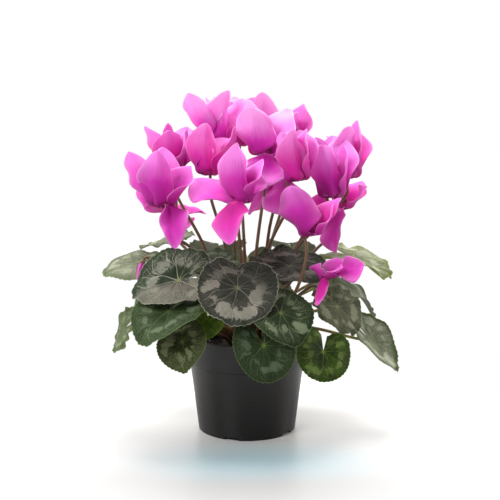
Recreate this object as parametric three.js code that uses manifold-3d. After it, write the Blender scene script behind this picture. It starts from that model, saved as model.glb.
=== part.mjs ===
// A florist's cyclamen in a black nursery pot, built the way it grows: a tuber sits proud in the
// compost, leaf stalks and flower stems rise from its crown, and each flower nods on a hooked stem
// with its five petals swept back. Millimetres, +Z up, origin under the pot's centre on the surface
// it stands on. Compass directions are degrees anticlockwise from +X seen from above.
import * as THREE from "three";
import { mergeVertices } from "three/addons/utils/BufferGeometryUtils.js";
import Module from "manifold-3d";

const wasm = await Module();
wasm.setup();

// Driving dimensions
const SEAT_GAP = 0.3;
const POT = {
  rimRadius: 60,
  footRadius: 47.7,
  height: 93.8,
  wall: 1.4,
  bandHeight: 27.5,
  bandStep: 0.9,
  floorUnderside: 3,
  floorThickness: 1.6,
  footWidth: 2.6,
  notchCount: 5,
  notchWidth: 13,
  notchHeight: 2.4,
  drainCount: 5,
  drainRadius: 4,
  drainCircle: 33,
  segments: 36,
};
const COMPOST = { top: 80, mound: 3 };
const TUBER = { radius: 26, rise: 13, depth: 16, rows: 3, segments: 14, socketDepth: 6 };
const STALK = { leafBase: 1.7, leafTip: 1.35, flowerBase: 1.8, flowerTip: 1.35, sides: 5 };
const BLADE = { thickness: 0.8, knob: 1.8, sinus: 11, youngSectors: 7, toothDepth: 0.02 };
const PETAL = { thickness: 0.7, root: 2.8, rows: [0, 0.125, 0.32, 0.6, 0.86, 1] };
const MOUTH = { radius: 5.6, tubeLength: 9, crownRadius: 3.4, wall: 1.4, sides: 8 };
const HOOK = { offset: 9.8, rise: 15, entry: 16 };

const MATERIALS = {
  pot: new THREE.MeshStandardMaterial({ color: 0x1f1f20, roughness: 0.45, metalness: 0 }),
  compost: new THREE.MeshStandardMaterial({ color: 0x1c130c, roughness: 0.95, metalness: 0 }),
  tuber: new THREE.MeshStandardMaterial({ color: 0x4b3526, roughness: 0.85, metalness: 0 }),
  leaf: new THREE.MeshStandardMaterial({ color: 0x35502f, roughness: 0.55, metalness: 0 }),
  petal: new THREE.MeshStandardMaterial({ color: 0xe052c8, roughness: 0.5, metalness: 0 }),
  stem: new THREE.MeshStandardMaterial({ color: 0x6e3f33, roughness: 0.55, metalness: 0 }),
};

// Leaves. at: where the stalk meets the blade. points: compass of the tip. faces and slope: the
// compass and the angle by which the upper side leans. length: junction to tip. root: how far from
// the tuber's centre, and at which compass, the stalk starts.
const LEAVES = [
  { at: [-109, 10, 162], points: 186, faces: 245, slope: 20, length: 37, breadth: 0.66, root: [13.2, 176] },
  { at: [-81, 57, 171], points: 160, faces: 150, slope: 16, length: 32, root: [13.2, 150] },
  { at: [-30, 66, 170], points: 104, faces: 98, slope: 16, length: 34, root: [13.2, 118] },
  { at: [-63, -46, 154], points: 196, faces: 262, slope: 26, length: 43, fold: 0.24, root: [13.2, 219] },
  { at: [-64, -72, 130], points: 226, faces: 238, slope: 30, length: 38, arch: 0.6, root: [18.6, 222] },
  { at: [-58, -80, 103], points: 250, faces: 246, slope: 54, length: 27, root: [22.5, 229] },
  { at: [-27, -30, 174], points: 200, faces: 262, slope: 16, length: 28, root: [13.2, 237] },
  { at: [-10, -76, 152], points: 270, faces: 271, slope: 44, length: 39, droop: 0.12, root: [13.2, 264] },
  { at: [40, -38, 166], points: 10, faces: 280, slope: 28, length: 44, breadth: 0.62, root: [13.2, 334] },
  { at: [30, -84, 131], points: 298, faces: 284, slope: 42, length: 33, root: [18.6, 290] },
  { at: [15, -91, 103], points: 284, faces: 277, slope: 64, length: 35, breadth: 0.85, root: [22.5, 281] },
  { at: [69, -77, 94], points: 290, faces: 299, slope: 66, length: 29, breadth: 1.08, root: [22.5, 314] },
  { at: [84, -41, 128], points: 318, faces: 312, slope: 44, length: 32, root: [18.6, 345] },
  { at: [119, -20, 95], points: 345, faces: 315, slope: 56, length: 40, breadth: 0.84, root: [22.5, 354] },
  { at: [101, 20, 130], points: 0, faces: 14, slope: 46, length: 35, breadth: 0.76, root: [18.6, 8] },
  { at: [106, 36, 165], points: 350, faces: 326, slope: 16, length: 45, root: [13.2, 37] },
  { at: [46, 66, 172], points: 62, faces: 62, slope: 20, length: 29, root: [13.2, 60] },
  { at: [0, 80, 158], points: 96, faces: 95, slope: 34, length: 31, root: [13.2, 88] },
  { at: [80, 74, 132], points: 40, faces: 42, slope: 40, length: 38, root: [18.6, 42] },
  { at: [24, 90, 112], points: 76, faces: 76, slope: 54, length: 36, root: [18.6, 78] },
  { at: [-56, 82, 116], points: 126, faces: 122, slope: 50, length: 38, root: [18.6, 121] },
];
// Pairs of small leaves that branch from one root at the crown: two that hang at the left, and the
// two youngest, still short, at the front.
const HANGING_PAIR = [
  { at: [-119, -10, 100], points: 185, faces: 183, slope: 66, length: 27, root: [18.6, 180] },
  { at: [-112, 30, 116], points: 168, faces: 164, slope: 62, length: 24, root: [18.6, 180] },
];
const YOUNG_PAIR = [
  { at: [-33, -58, 114], points: 240, faces: 250, slope: 40, length: 14, root: [18.6, 248] },
  { at: [-20, -50, 118], points: 262, faces: 258, slope: 42, length: 16, root: [18.6, 248] },
];

// Flowers. mouth: the centre of the ring where the petals turn back. nods and tilt: the compass and
// angle by which the mouth faces outwards from straight down. spreads: for each petal, starting at
// the nodding side and going round anticlockwise, its lean from upright. lengths and twists: root to
// tip and the turn about its own midrib, in the same order. root: where the stem starts on the
// tuber's crown, as for a leaf. via: a point that the stem passes on its way between the leaves.
const BLOOMS = [
  {
    mouth: [-78, -52, 223], nods: 236, tilt: 12, root: [8.6, 214], via: [-42, -6, 168],
    spreads: [20, 150, 30, 12, 25], lengths: [70, 48, 42, 66, 62],
    twists: [26, 60, 26, 26, 26], breadth: 16,
  },
  {
    mouth: [-74, 14, 253], nods: 120, tilt: 8, root: [8.6, 160], via: [-44, 5, 184],
    spreads: [14, 14, 10, 12, 12], lengths: [50, 50, 48, 48, 48],
  },
  {
    mouth: [-77, 34, 209], nods: 200, tilt: 25, root: [8.6, 132],
    spreads: [80, 140, 65, 40, 50], lengths: [34, 30, 36, 38, 38], breadth: 11,
  },
  {
    mouth: [-41, -20, 251], nods: 262, tilt: 12, root: [8.6, 187], via: [-21, 0, 180],
    spreads: [10, 20, 14, 14, 14], lengths: [50, 50, 42, 42, 46],
  },
  {
    mouth: [-29, 14, 281], nods: 215, tilt: 14, root: [3.7, 172],
    spreads: [36, 10, 12, 12, 16], lengths: [54, 54, 48, 42, 50],
  },
  {
    mouth: [-3, -75, 228], nods: 285, tilt: 8, root: [8.6, 262],
    spreads: [10, 12, 14, 56, 150], lengths: [58, 38, 36, 50, 46],
    twists: [24, 24, 24, -40, 10], breadth: 16,
  },
  {
    mouth: [15, -33, 269], nods: 240, tilt: 10, root: [8.6, 290], via: [9, -22, 178],
    spreads: [15, 172, 9, 10, 20], lengths: [50, 32, 54, 58, 50], breadth: 16.5,
  },
  {
    mouth: [-9, 68, 270], nods: 100, tilt: 10, root: [3.7, 90],
    spreads: [20, 20, 14, 14, 16], lengths: [50, 50, 52, 52, 50],
  },
  {
    mouth: [48, -59, 247], nods: 345, tilt: 8, root: [8.6, 318], via: [20, -8, 176],
    spreads: [8, 8, 6, 8, 8], lengths: [50, 50, 50, 50, 52], breadth: 14,
  },
  {
    mouth: [52, 24, 271], nods: 10, tilt: 10, root: [8.6, 14],
    spreads: [14, 14, 14, 10, 10], lengths: [50, 50, 50, 46, 44],
  },
  {
    mouth: [77, -30, 230], nods: 190, tilt: 8, root: [8.6, 346], via: [46, -8, 178],
    spreads: [8, 10, 12, 10, 10], lengths: [58, 52, 52, 66, 66], breadth: 16,
  },
  {
    mouth: [106, 12, 246], nods: 200, tilt: 8, root: [13.2, 358],
    spreads: [10, 8, 10, 14, 12], lengths: [46, 54, 58, 54, 50],
  },
  {
    mouth: [94, 44, 214], nods: 215, tilt: 20, root: [13.2, 17],
    spreads: [135, 50, 30, 30, 60], lengths: [42, 34, 36, 36, 34], breadth: 12,
  },
  {
    mouth: [49, -73, 200], nods: 300, tilt: 12, root: [18.6, 303], via: [41, -58, 142],
    spreads: [58, 40, 12, 10, 12], lengths: [34, 54, 38, 38, 48], breadth: 14.5,
  },
  {
    mouth: [35, -4, 243], nods: 262, tilt: 14, root: [3.7, 350], via: [23, 5, 180],
    spreads: [155, 12, 10, 12, 150], lengths: [42, 38, 38, 38, 40], breadth: 14,
  },
  {
    mouth: [80, -69, 156], nods: 300, tilt: 30, root: [18.6, 326], via: [67, -40, 147],
    spreads: [105, 60, 30, 50, 150], lengths: [22, 30, 28, 22, 28], breadth: 9, size: 0.62,
  },
];
const BUD = { mouth: [-101, -18, 162], nods: 205, tilt: 20, root: [18.6, 203], girth: 5.4, tip: -21 };
const LEAF_DEFAULTS = { sectors: 10, breadth: 1, fold: 0.2, droop: 0.2, wave: 0.05, phase: 0, arch: 0.45 };
const BLOOM_DEFAULTS = { breadth: 15, twists: [26, 26, 26, 26, 26], size: 1 };

const degrees = THREE.MathUtils.degToRad;
const smooth = (from, to, x) => THREE.MathUtils.smoothstep(x, from, to);
const compass = (angle) => new THREE.Vector3(Math.cos(degrees(angle)), Math.sin(degrees(angle)), 0);
const UP = new THREE.Vector3(0, 0, 1);

// A solid from vertices and triangles that already form one closed surface.
function solidFromArrays(vertices, triangles) {
  return new wasm.Manifold(
    new wasm.Mesh({
      numProp: 3,
      vertProperties: new Float32Array(vertices.flatMap((v) => [v.x, v.y, v.z])),
      triVerts: new Uint32Array(triangles.flat()),
    }),
  );
}

// A solid from a closed three.js geometry, whose doubled vertices are merged first.
function solidFromGeometry(geometry) {
  const bare = new THREE.BufferGeometry();
  bare.setAttribute("position", geometry.getAttribute("position"));
  bare.setIndex(geometry.getIndex());
  const merged = mergeVertices(bare, 1e-4);
  return new wasm.Manifold(
    new wasm.Mesh({
      numProp: 3,
      vertProperties: merged.getAttribute("position").array,
      triVerts: new Uint32Array(merged.getIndex().array),
    }),
  );
}

// A lathe about +Z from a list of [radius, height] that starts and ends on the axis.
function turned(profile, segments) {
  const points = profile.map(([radius, height]) => new THREE.Vector2(radius, height));
  const lathe = new THREE.LatheGeometry(points, segments);
  lathe.rotateX(Math.PI / 2);
  const made = solidFromGeometry(lathe);
  if (made.volume() > 0) return made;
  return solidFromGeometry(new THREE.LatheGeometry(points.reverse(), segments).rotateX(Math.PI / 2));
}

// The named mesh of a finished solid.
function meshOf(name, solid, material) {
  const { numProp, numVert, vertProperties, triVerts } = solid.simplify(0.02).getMesh();
  const positions = new Float32Array(numVert * 3);
  for (let i = 0; i < numVert; i += 1) {
    positions.set(vertProperties.subarray(i * numProp, i * numProp + 3), i * 3);
  }
  const geometry = new THREE.BufferGeometry();
  geometry.setAttribute("position", new THREE.BufferAttribute(positions, 3));
  geometry.setIndex(new THREE.BufferAttribute(new Uint32Array(triVerts), 1));
  geometry.computeVertexNormals();
  const mesh = new THREE.Mesh(geometry, material);
  mesh.name = name;
  return mesh;
}

// A thin closed shell round a sheet: both faces carry the same triangles, and rim closes the edge.
// below gives how far the under side lies from the sheet at each vertex.
function shell(vertices, triangles, rim, above, below) {
  const normals = vertices.map(() => new THREE.Vector3());
  for (const [a, b, c] of triangles) {
    const ab = vertices[b].clone().sub(vertices[a]);
    const ac = vertices[c].clone().sub(vertices[a]);
    const normal = ab.cross(ac);
    for (const corner of [a, b, c]) normals[corner].add(normal);
  }
  normals.forEach((normal) => normal.normalize());
  const count = vertices.length;
  const upper = vertices.map((v, i) => v.clone().addScaledVector(normals[i], above));
  const lower = vertices.map((v, i) => v.clone().addScaledVector(normals[i], -below(i)));
  const faces = [...triangles, ...triangles.map(([a, b, c]) => [a + count, c + count, b + count])];
  rim.forEach((a, i) => {
    const b = rim[(i + 1) % rim.length];
    faces.push([b, a, a + count], [b, a + count, b + count]);
  });
  return solidFromArrays([...upper, ...lower], faces);
}

// A tapering round stalk along a curve, with its rings kept so that a socket can follow them.
function stalkRings(curve, radiusAt, steps) {
  const frames = curve.computeFrenetFrames(steps, false);
  return Array.from({ length: steps + 1 }, (_, i) => ({
    centre: curve.getPointAt(i / steps),
    tangent: frames.tangents[i],
    normal: frames.normals[i],
    binormal: frames.binormals[i],
    radius: radiusAt(i / steps),
  }));
}

function stalkSolid(rings, extraRadius = 0) {
  const sides = STALK.sides;
  const vertices = [];
  const triangles = [];
  rings.forEach((ring) => {
    for (let side = 0; side < sides; side += 1) {
      const angle = (2 * Math.PI * side) / sides;
      const radius = ring.radius + extraRadius;
      vertices.push(
        ring.centre
          .clone()
          .addScaledVector(ring.normal, radius * Math.cos(angle))
          .addScaledVector(ring.binormal, radius * Math.sin(angle)),
      );
    }
  });
  for (let row = 0; row + 1 < rings.length; row += 1) {
    for (let side = 0; side < sides; side += 1) {
      const a = row * sides + side;
      const b = row * sides + ((side + 1) % sides);
      triangles.push([a, b, b + sides], [a, b + sides, a + sides]);
    }
  }
  const last = (rings.length - 1) * sides;
  for (let side = 1; side + 1 < sides; side += 1) {
    triangles.push([0, side + 1, side], [last, last + side, last + side + 1]);
  }
  const made = solidFromArrays(vertices, triangles);
  if (made.volume() > 0) return made;
  return solidFromArrays(vertices, triangles.map(([a, b, c]) => [a, c, b]));
}

// The hole in the tuber that a stalk stands in: its own rings, wider all round and a little deeper.
function socketSolid(rings) {
  const lowest = rings[0];
  const deeper = lowest.centre.clone().addScaledVector(lowest.tangent, -SEAT_GAP);
  return stalkSolid([{ ...lowest, centre: deeper }, rings[1]], SEAT_GAP);
}

// Height of the tuber's crown at a distance from its centre
function crownHeight(radius) {
  return COMPOST.top + TUBER.rise * Math.sqrt(1 - (radius / TUBER.radius) ** 2);
}

// Where a stalk starts, sunk in the crown, and the direction it leaves in
function crownStart([radius, bearing], lean) {
  const outward = compass(bearing);
  const direction = outward.clone().multiplyScalar(lean).add(UP).normalize();
  const surface = outward.multiplyScalar(radius).setZ(crownHeight(radius));
  return { start: surface.addScaledVector(direction, -TUBER.socketDepth), direction };
}

// Leaf blade
function leafOutline(angle, tooth) {
  const lobe = 0.85 + 0.09 * Math.max(0, Math.cos(angle));
  const tip = 0.06 * Math.exp(-((angle / 0.24) ** 2));
  const rounding = 1 - 0.24 * smooth(degrees(140), degrees(180 - BLADE.sinus), Math.abs(angle));
  return (lobe + tip) * rounding + tooth;
}

// Height of the blade over its own plane, for a point given as shares of its length
function leafRelief(leaf, x, y, share) {
  const angle = Math.atan2(y, x);
  const softFold = Math.sqrt(y * y + 0.02) - Math.sqrt(0.02);
  const wave = leaf.wave * share ** 2 * Math.sin(3 * angle + degrees(leaf.phase));
  return leaf.fold * softFold - leaf.droop * (x * x * (x > 0 ? 1 : 0.35) + 0.55 * y * y) + wave;
}

function leafAxes(leaf) {
  const facing = compass(leaf.faces).multiplyScalar(Math.sin(degrees(leaf.slope)));
  const normal = facing.addScaledVector(UP, Math.cos(degrees(leaf.slope)));
  const heading = compass(leaf.points);
  const tip = heading.addScaledVector(normal, -heading.dot(normal)).normalize();
  return { tip, side: normal.clone().cross(tip), normal };
}

function bladeSolid(leaf) {
  const { tip, side, normal } = leafAxes(leaf);
  const place = (angle, share, tooth) => {
    const reach = share * leafOutline(angle, tooth);
    const x = reach * Math.cos(angle);
    const y = reach * Math.sin(angle) * leaf.breadth;
    return new THREE.Vector3(...leaf.at)
      .addScaledVector(tip, leaf.length * x)
      .addScaledVector(side, leaf.length * y)
      .addScaledVector(normal, leaf.length * leafRelief(leaf, x, y, share));
  };
  const widest = degrees(180 - BLADE.sinus);
  const angleOf = (i, count) => -widest + (2 * widest * i) / count;
  const inner = leaf.sectors;
  const outer = 2 * inner;
  const vertices = [place(0, 0, 0)];
  for (let i = 0; i <= inner; i += 1) vertices.push(place(angleOf(i, inner), 0.52, 0));
  for (let i = 0; i <= outer; i += 1) {
    vertices.push(place(angleOf(i, outer), 1, i % 2 ? BLADE.toothDepth : -BLADE.toothDepth));
  }
  const firstOuter = inner + 2;
  const triangles = [];
  for (let i = 0; i < inner; i += 1) {
    const a = 1 + i;
    const edge = firstOuter + 2 * i;
    triangles.push([0, a, a + 1], [a, edge, edge + 1], [a, edge + 1, a + 1], [a + 1, edge + 1, edge + 2]);
  }
  const rim = [0, 1];
  for (let i = 0; i <= outer; i += 1) rim.push(firstOuter + i);
  rim.push(1 + inner);
  const half = BLADE.thickness / 2;
  return shell(vertices, triangles, rim, half, (i) => (i === 0 ? BLADE.knob : half));
}

function petioleRings(leaf, steps) {
  const { tip, normal } = leafAxes(leaf);
  const end = new THREE.Vector3(...leaf.at).addScaledVector(normal, -1);
  const arriving = tip.clone().multiplyScalar(0.55).add(normal).normalize();
  const { start, direction } = crownStart(leaf.root, 0.55);
  const span = start.distanceTo(end);
  const curve = new THREE.CubicBezierCurve3(
    start,
    start.clone().addScaledVector(direction, leaf.arch * span),
    end.clone().addScaledVector(arriving, -0.32 * span),
    end,
  );
  return stalkRings(curve, (t) => THREE.MathUtils.lerp(STALK.leafBase, STALK.leafTip, t), steps);
}

// Flower
function bloomAxes(bloom) {
  const lean = compass(bloom.nods).multiplyScalar(-Math.sin(degrees(bloom.tilt)));
  const up = lean.addScaledVector(UP, Math.cos(degrees(bloom.tilt)));
  const heading = compass(bloom.nods);
  const front = heading.addScaledVector(up, -heading.dot(up)).normalize();
  return { up, front, left: up.clone().cross(front) };
}

function petalHalfWidth(share, breadth) {
  const along = Math.max(0, (share - 0.05) / 0.95);
  const body = Math.max(0, Math.sin(Math.PI * along ** 1.3)) ** (1.1 - 0.55 * along);
  return PETAL.root * Math.sqrt(breadth / 15) * (1 - share) ** 3 + breadth * body;
}

// The petal's midrib, worked out in short steps from the mouth, with the sheet's own frame
function petalMidrib(bloom, index, steps) {
  const first = degrees(-12);
  const last = degrees(90 - bloom.spreads[index]);
  const length = bloom.lengths[index];
  const points = [];
  let radius = (MOUTH.radius - 0.6) * bloom.size;
  let height = 0.4;
  for (let i = 0; i <= steps; i += 1) {
    const share = i / steps;
    const turn = smooth(0, 0.27, share);
    const slope = first + (last - first) * turn;
    const twist = degrees(bloom.twists[index]) * smooth(0.08, 0.6, share);
    points.push({ radius, height, slope, twist });
    radius += (Math.cos(slope) * length) / steps;
    height += (Math.sin(slope) * length) / steps;
  }
  return points;
}

function petalSolid(bloom, index) {
  const { up, front, left } = bloomAxes(bloom);
  const azimuth = degrees(72 * index);
  const outward = front.clone().multiplyScalar(Math.cos(azimuth)).addScaledVector(left, Math.sin(azimuth));
  const across = up.clone().cross(outward);
  const fineSteps = 40;
  const midrib = petalMidrib(bloom, index, fineSteps);
  const mouth = new THREE.Vector3(...bloom.mouth);
  const place = (share, column) => {
    const { radius, height, slope, twist } = midrib[Math.round(share * fineSteps)];
    const inward = outward.clone().multiplyScalar(-Math.sin(slope)).addScaledVector(up, Math.cos(slope));
    const width = across.clone().multiplyScalar(Math.cos(twist)).addScaledVector(inward, Math.sin(twist));
    const face = inward.clone().multiplyScalar(Math.cos(twist)).addScaledVector(across, -Math.sin(twist));
    const half = petalHalfWidth(share, bloom.breadth);
    return mouth
      .clone()
      .addScaledVector(outward, radius)
      .addScaledVector(up, height)
      .addScaledVector(width, column * half)
      .addScaledVector(face, 0.22 * Math.abs(column) * half);
  };
  const vertices = [];
  const rows = PETAL.rows.length - 1;
  for (let row = 0; row < rows; row += 1) {
    for (const column of [-1, 0, 1]) vertices.push(place(PETAL.rows[row], column));
  }
  vertices.push(place(1, 0));
  const triangles = [];
  for (let row = 0; row + 1 < rows; row += 1) {
    const a = 3 * row;
    triangles.push([a, a + 4, a + 1], [a, a + 3, a + 4], [a + 1, a + 4, a + 2], [a + 4, a + 5, a + 2]);
  }
  const lastRow = 3 * (rows - 1);
  const apex = 3 * rows;
  triangles.push([lastRow, apex, lastRow + 1], [lastRow + 1, apex, lastRow + 2]);
  const rim = [2, 1, 0];
  for (let row = 1; row < rows; row += 1) rim.push(3 * row);
  rim.push(apex);
  for (let row = rows - 1; row > 0; row -= 1) rim.push(3 * row + 2);
  const half = PETAL.thickness / 2;
  return shell(vertices, triangles, rim, half, () => half);
}

// Moves a solid turned about +Z so that +Z lies along the flower's own upward axis
function setOnBloom(solid, bloom) {
  const { up, front, left } = bloomAxes(bloom);
  const matrix = new THREE.Matrix4().makeBasis(front, left, up).setPosition(...bloom.mouth);
  matrix.scale(new THREE.Vector3(bloom.size, bloom.size, bloom.size));
  return solid.transform([...matrix.elements]);
}

function corollaTube(bloom) {
  const { radius, tubeLength, crownRadius, wall, sides } = MOUTH;
  const profile = [
    [0, tubeLength - 1.6],
    [radius - wall, -0.4],
    [radius, -0.4],
    [crownRadius, tubeLength - 0.6],
    [0, tubeLength],
  ];
  return setOnBloom(turned(profile, sides), bloom);
}

function calyxSolid(bloom) {
  const { tubeLength, crownRadius } = MOUTH;
  const foot = tubeLength + SEAT_GAP / bloom.size;
  const profile = [
    [0, foot],
    [crownRadius + 1, foot],
    [1.6, foot + 2.6],
    [0, foot + 2.8],
  ];
  return setOnBloom(turned(profile, 5), bloom);
}

function flowerStemRings(bloom, steps) {
  const { up, front } = bloomAxes(bloom);
  const mouth = new THREE.Vector3(...bloom.mouth);
  const beside = (away, height) =>
    mouth
      .clone()
      .addScaledVector(front, -away * bloom.size)
      .addScaledVector(up, height * bloom.size);
  const offset = HOOK.offset;
  const { start, direction } = crownStart(bloom.root, 0.22);
  const entry = beside(offset, -HOOK.entry);
  const midway = start.clone().lerp(entry, 0.52).addScaledVector(UP, 0.14 * (entry.z - start.z));
  const curve = new THREE.CatmullRomCurve3(
    [
      start,
      start.clone().addScaledVector(direction, bloom.via ? 14 : 30),
      bloom.via ? new THREE.Vector3(...bloom.via) : midway,
      entry,
      beside(offset, 2),
      beside(offset - 0.6, HOOK.rise - 2),
      beside(offset / 2, HOOK.rise + 0.27 * offset),
      beside(0.4, HOOK.rise - 0.6),
      beside(0, MOUTH.tubeLength + 1.6),
    ],
    false,
    "centripetal",
  );
  const tip = STALK.flowerTip * Math.sqrt(bloom.size);
  return stalkRings(curve, (t) => THREE.MathUtils.lerp(STALK.flowerBase, tip, t), steps);
}

// Pot, compost and tuber
function potSolid() {
  const slant = (POT.rimRadius - POT.bandStep - POT.footRadius) / POT.height;
  const outer = (height) => POT.footRadius + slant * height;
  const bandFoot = POT.height - POT.bandHeight;
  const floorTop = POT.floorUnderside + POT.floorThickness;
  const profile = [
    [0, POT.floorUnderside],
    [outer(0) - POT.footWidth, POT.floorUnderside],
    [outer(0) - POT.footWidth, 0],
    [outer(0), 0],
    [outer(bandFoot), bandFoot],
    [outer(bandFoot) + POT.bandStep, bandFoot + 0.8],
    [POT.rimRadius, POT.height],
    [outer(POT.height) - POT.wall, POT.height],
    [outer(floorTop) - POT.wall, floorTop],
    [0, floorTop],
  ];
  let pot = turned(profile, POT.segments);
  for (let i = 0; i < POT.notchCount; i += 1) {
    const angle = (360 * (i + 0.5)) / POT.notchCount;
    const notch = new THREE.BoxGeometry(12, POT.notchWidth, 2 * POT.notchHeight);
    notch.translate(POT.footRadius, 0, 0).rotateZ(degrees(angle));
    pot = pot.subtract(solidFromGeometry(notch));
  }
  for (let i = 0; i < POT.drainCount; i += 1) {
    const centre = compass((360 * i) / POT.drainCount).multiplyScalar(POT.drainCircle);
    const drain = new THREE.CylinderGeometry(POT.drainRadius, POT.drainRadius, 10, 10);
    drain.rotateX(Math.PI / 2).translate(centre.x, centre.y, floorTop);
    pot = pot.subtract(solidFromGeometry(drain));
  }
  return pot;
}

function tuberProfile(grow) {
  const { radius, rise, depth } = TUBER;
  const top = COMPOST.top;
  const points = [];
  const rows = TUBER.rows;
  for (let i = 0; i <= rows; i += 1) {
    const angle = (Math.PI / 2) * (i / rows);
    points.push([(radius + grow) * Math.cos(angle), top + (rise + grow) * Math.sin(angle)]);
  }
  points[rows][0] = 0;
  return [[0, top - depth - grow], [0.62 * radius + grow, top - depth - grow], ...points];
}

function compostSolid() {
  const slant = (POT.rimRadius - POT.bandStep - POT.footRadius) / POT.height;
  const inner = (height) => POT.footRadius + slant * height - POT.wall - SEAT_GAP;
  const bottom = POT.floorUnderside + POT.floorThickness + SEAT_GAP;
  const profile = [
    [0, bottom],
    [inner(bottom) - 0.05, bottom],
    [inner(COMPOST.top - COMPOST.mound) - 0.05, COMPOST.top - COMPOST.mound],
    [38, COMPOST.top - 0.5],
    [0, COMPOST.top],
  ];
  const hole = turned(tuberProfile(SEAT_GAP), TUBER.segments);
  return turned(profile, POT.segments).subtract(hole);
}

// Assembly
const plant = new THREE.Group();
const sockets = [];

function addLeaf(leaf, index) {
  const full = { ...LEAF_DEFAULTS, phase: 70 * index, ...leaf };
  const rings = petioleRings(full, 5);
  sockets.push(socketSolid(rings));
  const number = String(index + 1).padStart(2, "0");
  plant.add(meshOf(`leaf_${number}`, bladeSolid(full).add(stalkSolid(rings)), MATERIALS.leaf));
}

function addLeafPair(name, leaves) {
  const pieces = leaves.map((leaf) => {
    const full = { ...LEAF_DEFAULTS, sectors: BLADE.youngSectors, ...leaf };
    const rings = petioleRings(full, 5);
    sockets.push(socketSolid(rings));
    return bladeSolid(full).add(stalkSolid(rings));
  });
  plant.add(meshOf(name, pieces.reduce((a, b) => a.add(b)), MATERIALS.leaf));
}

function addBud() {
  const full = { ...BLOOM_DEFAULTS, ...BUD, size: 0.62 };
  const profile = [
    [0, full.tip],
    [0.6 * full.girth, 0.5 * full.tip],
    [full.girth, 0],
    [0.8 * full.girth, 0.6 * MOUTH.tubeLength],
    [0, MOUTH.tubeLength],
  ];
  const rings = flowerStemRings(full, 12);
  sockets.push(socketSolid(rings));
  plant.add(meshOf("bud", setOnBloom(turned(profile, MOUTH.sides), full), MATERIALS.petal));
  plant.add(meshOf("bud_stem", stalkSolid(rings).add(calyxSolid(full)), MATERIALS.stem));
}

function addBloom(bloom, index) {
  const full = { ...BLOOM_DEFAULTS, ...bloom };
  const petals = full.spreads.map((_, i) => petalSolid(full, i));
  const corolla = petals.reduce((a, b) => a.add(b), corollaTube(full));
  const rings = flowerStemRings(full, 12);
  sockets.push(socketSolid(rings));
  const number = String(index + 1).padStart(2, "0");
  plant.add(meshOf(`corolla_${number}`, corolla, MATERIALS.petal));
  const stem = stalkSolid(rings).add(calyxSolid(full));
  plant.add(meshOf(`flower_stem_${number}`, stem, MATERIALS.stem));
}

LEAVES.forEach(addLeaf);
addLeafPair("hanging_leaves", HANGING_PAIR);
addLeafPair("young_leaves", YOUNG_PAIR);
BLOOMS.forEach(addBloom);
addBud();
const tuber = sockets.reduce((a, b) => a.subtract(b), turned(tuberProfile(0), TUBER.segments));
plant.add(meshOf("tuber", tuber, MATERIALS.tuber));
plant.add(meshOf("compost", compostSolid(), MATERIALS.compost));
plant.add(meshOf("pot", potSolid(), MATERIALS.pot));

export default plant;
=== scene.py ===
"""A cyclamen in flower in its black nursery pot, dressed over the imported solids.

The plant is built the way it grows: a corky tuber sits proud in the compost, leaf stalks and flower
stems rise from its crown, and each flower nods on a hooked stem with its five petals swept back.
The tables are in millimetres, as the part's own source has them, and every mesh is made in metres.
Compass directions are degrees anticlockwise from +X seen from above.
"""

import logging
import math
from dataclasses import dataclass, field
from enum import Enum
from typing import Any, Callable, Sequence

import bmesh
import bpy
import numpy as np
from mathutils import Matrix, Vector


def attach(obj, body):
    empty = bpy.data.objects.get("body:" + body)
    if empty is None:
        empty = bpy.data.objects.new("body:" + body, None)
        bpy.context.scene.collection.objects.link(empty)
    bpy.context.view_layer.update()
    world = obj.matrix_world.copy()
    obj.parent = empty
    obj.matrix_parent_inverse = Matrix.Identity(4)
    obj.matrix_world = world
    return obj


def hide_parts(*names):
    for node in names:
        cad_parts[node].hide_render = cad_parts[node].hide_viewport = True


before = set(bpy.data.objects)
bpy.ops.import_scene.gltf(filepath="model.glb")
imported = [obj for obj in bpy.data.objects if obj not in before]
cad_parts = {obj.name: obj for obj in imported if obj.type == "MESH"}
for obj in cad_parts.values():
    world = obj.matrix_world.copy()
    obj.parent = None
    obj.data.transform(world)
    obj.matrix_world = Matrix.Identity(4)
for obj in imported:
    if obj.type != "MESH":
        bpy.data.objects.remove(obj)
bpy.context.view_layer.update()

LOG = logging.getLogger("cyclamen")
MM = 0.001
ROOT_BODY = "root"
UP = np.array([0.0, 0.0, 1.0])
GOLDEN = 2.399963
VEINS = 10
Array = np.ndarray
Colour = tuple[float, float, float, float]
Pair = tuple[float, float]
Point = tuple[float, float, float]
WHITE: Colour = (1.0, 1.0, 1.0, 1.0)


def paint(red: float, green: float, blue: float) -> Colour:
    """Turns a given colour into the linear one that shaders take.

    Args:
        red: The red channel, from 0 to 255.
        green: The green channel.
        blue: The blue channel.

    Returns:
        The linear colour, opaque.
    """
    shares = (channel / 255 for channel in (red, green, blue))
    linear = (share / 12.92 if share <= 0.04045 else ((share + 0.055) / 1.055) ** 2.4 for share in shares)
    return (*linear, 1.0)


def compass(bearing: float) -> Array:
    """The level unit vector at a compass bearing in degrees."""
    return np.array([math.cos(math.radians(bearing)), math.sin(math.radians(bearing)), 0.0])


def unit(vector: Array) -> Array:
    """The vector at length one."""
    return vector / np.linalg.norm(vector)


def smoothstep(low: float, high: float, value: Any) -> Any:
    """Eases from 0 at low to 1 at high, for a number or an array."""
    share = np.clip((value - low) / (high - low), 0.0, 1.0)
    return share * share * (3 - 2 * share)


def wander(angle: Any, share: Any, seed: Any, sine: Callable[[Any], Any]) -> Any:
    """A vein's bearing with the slow bends of its own leaf, for arrays and shader signals alike."""
    bent = angle + 0.08 * share * sine(share * 11.0 + seed * 9.0)
    return bent + sine(angle * 2.0 + seed * 23.0) * 0.15 + sine(angle * 3.0 + seed * 41.0) * 0.09


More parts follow.
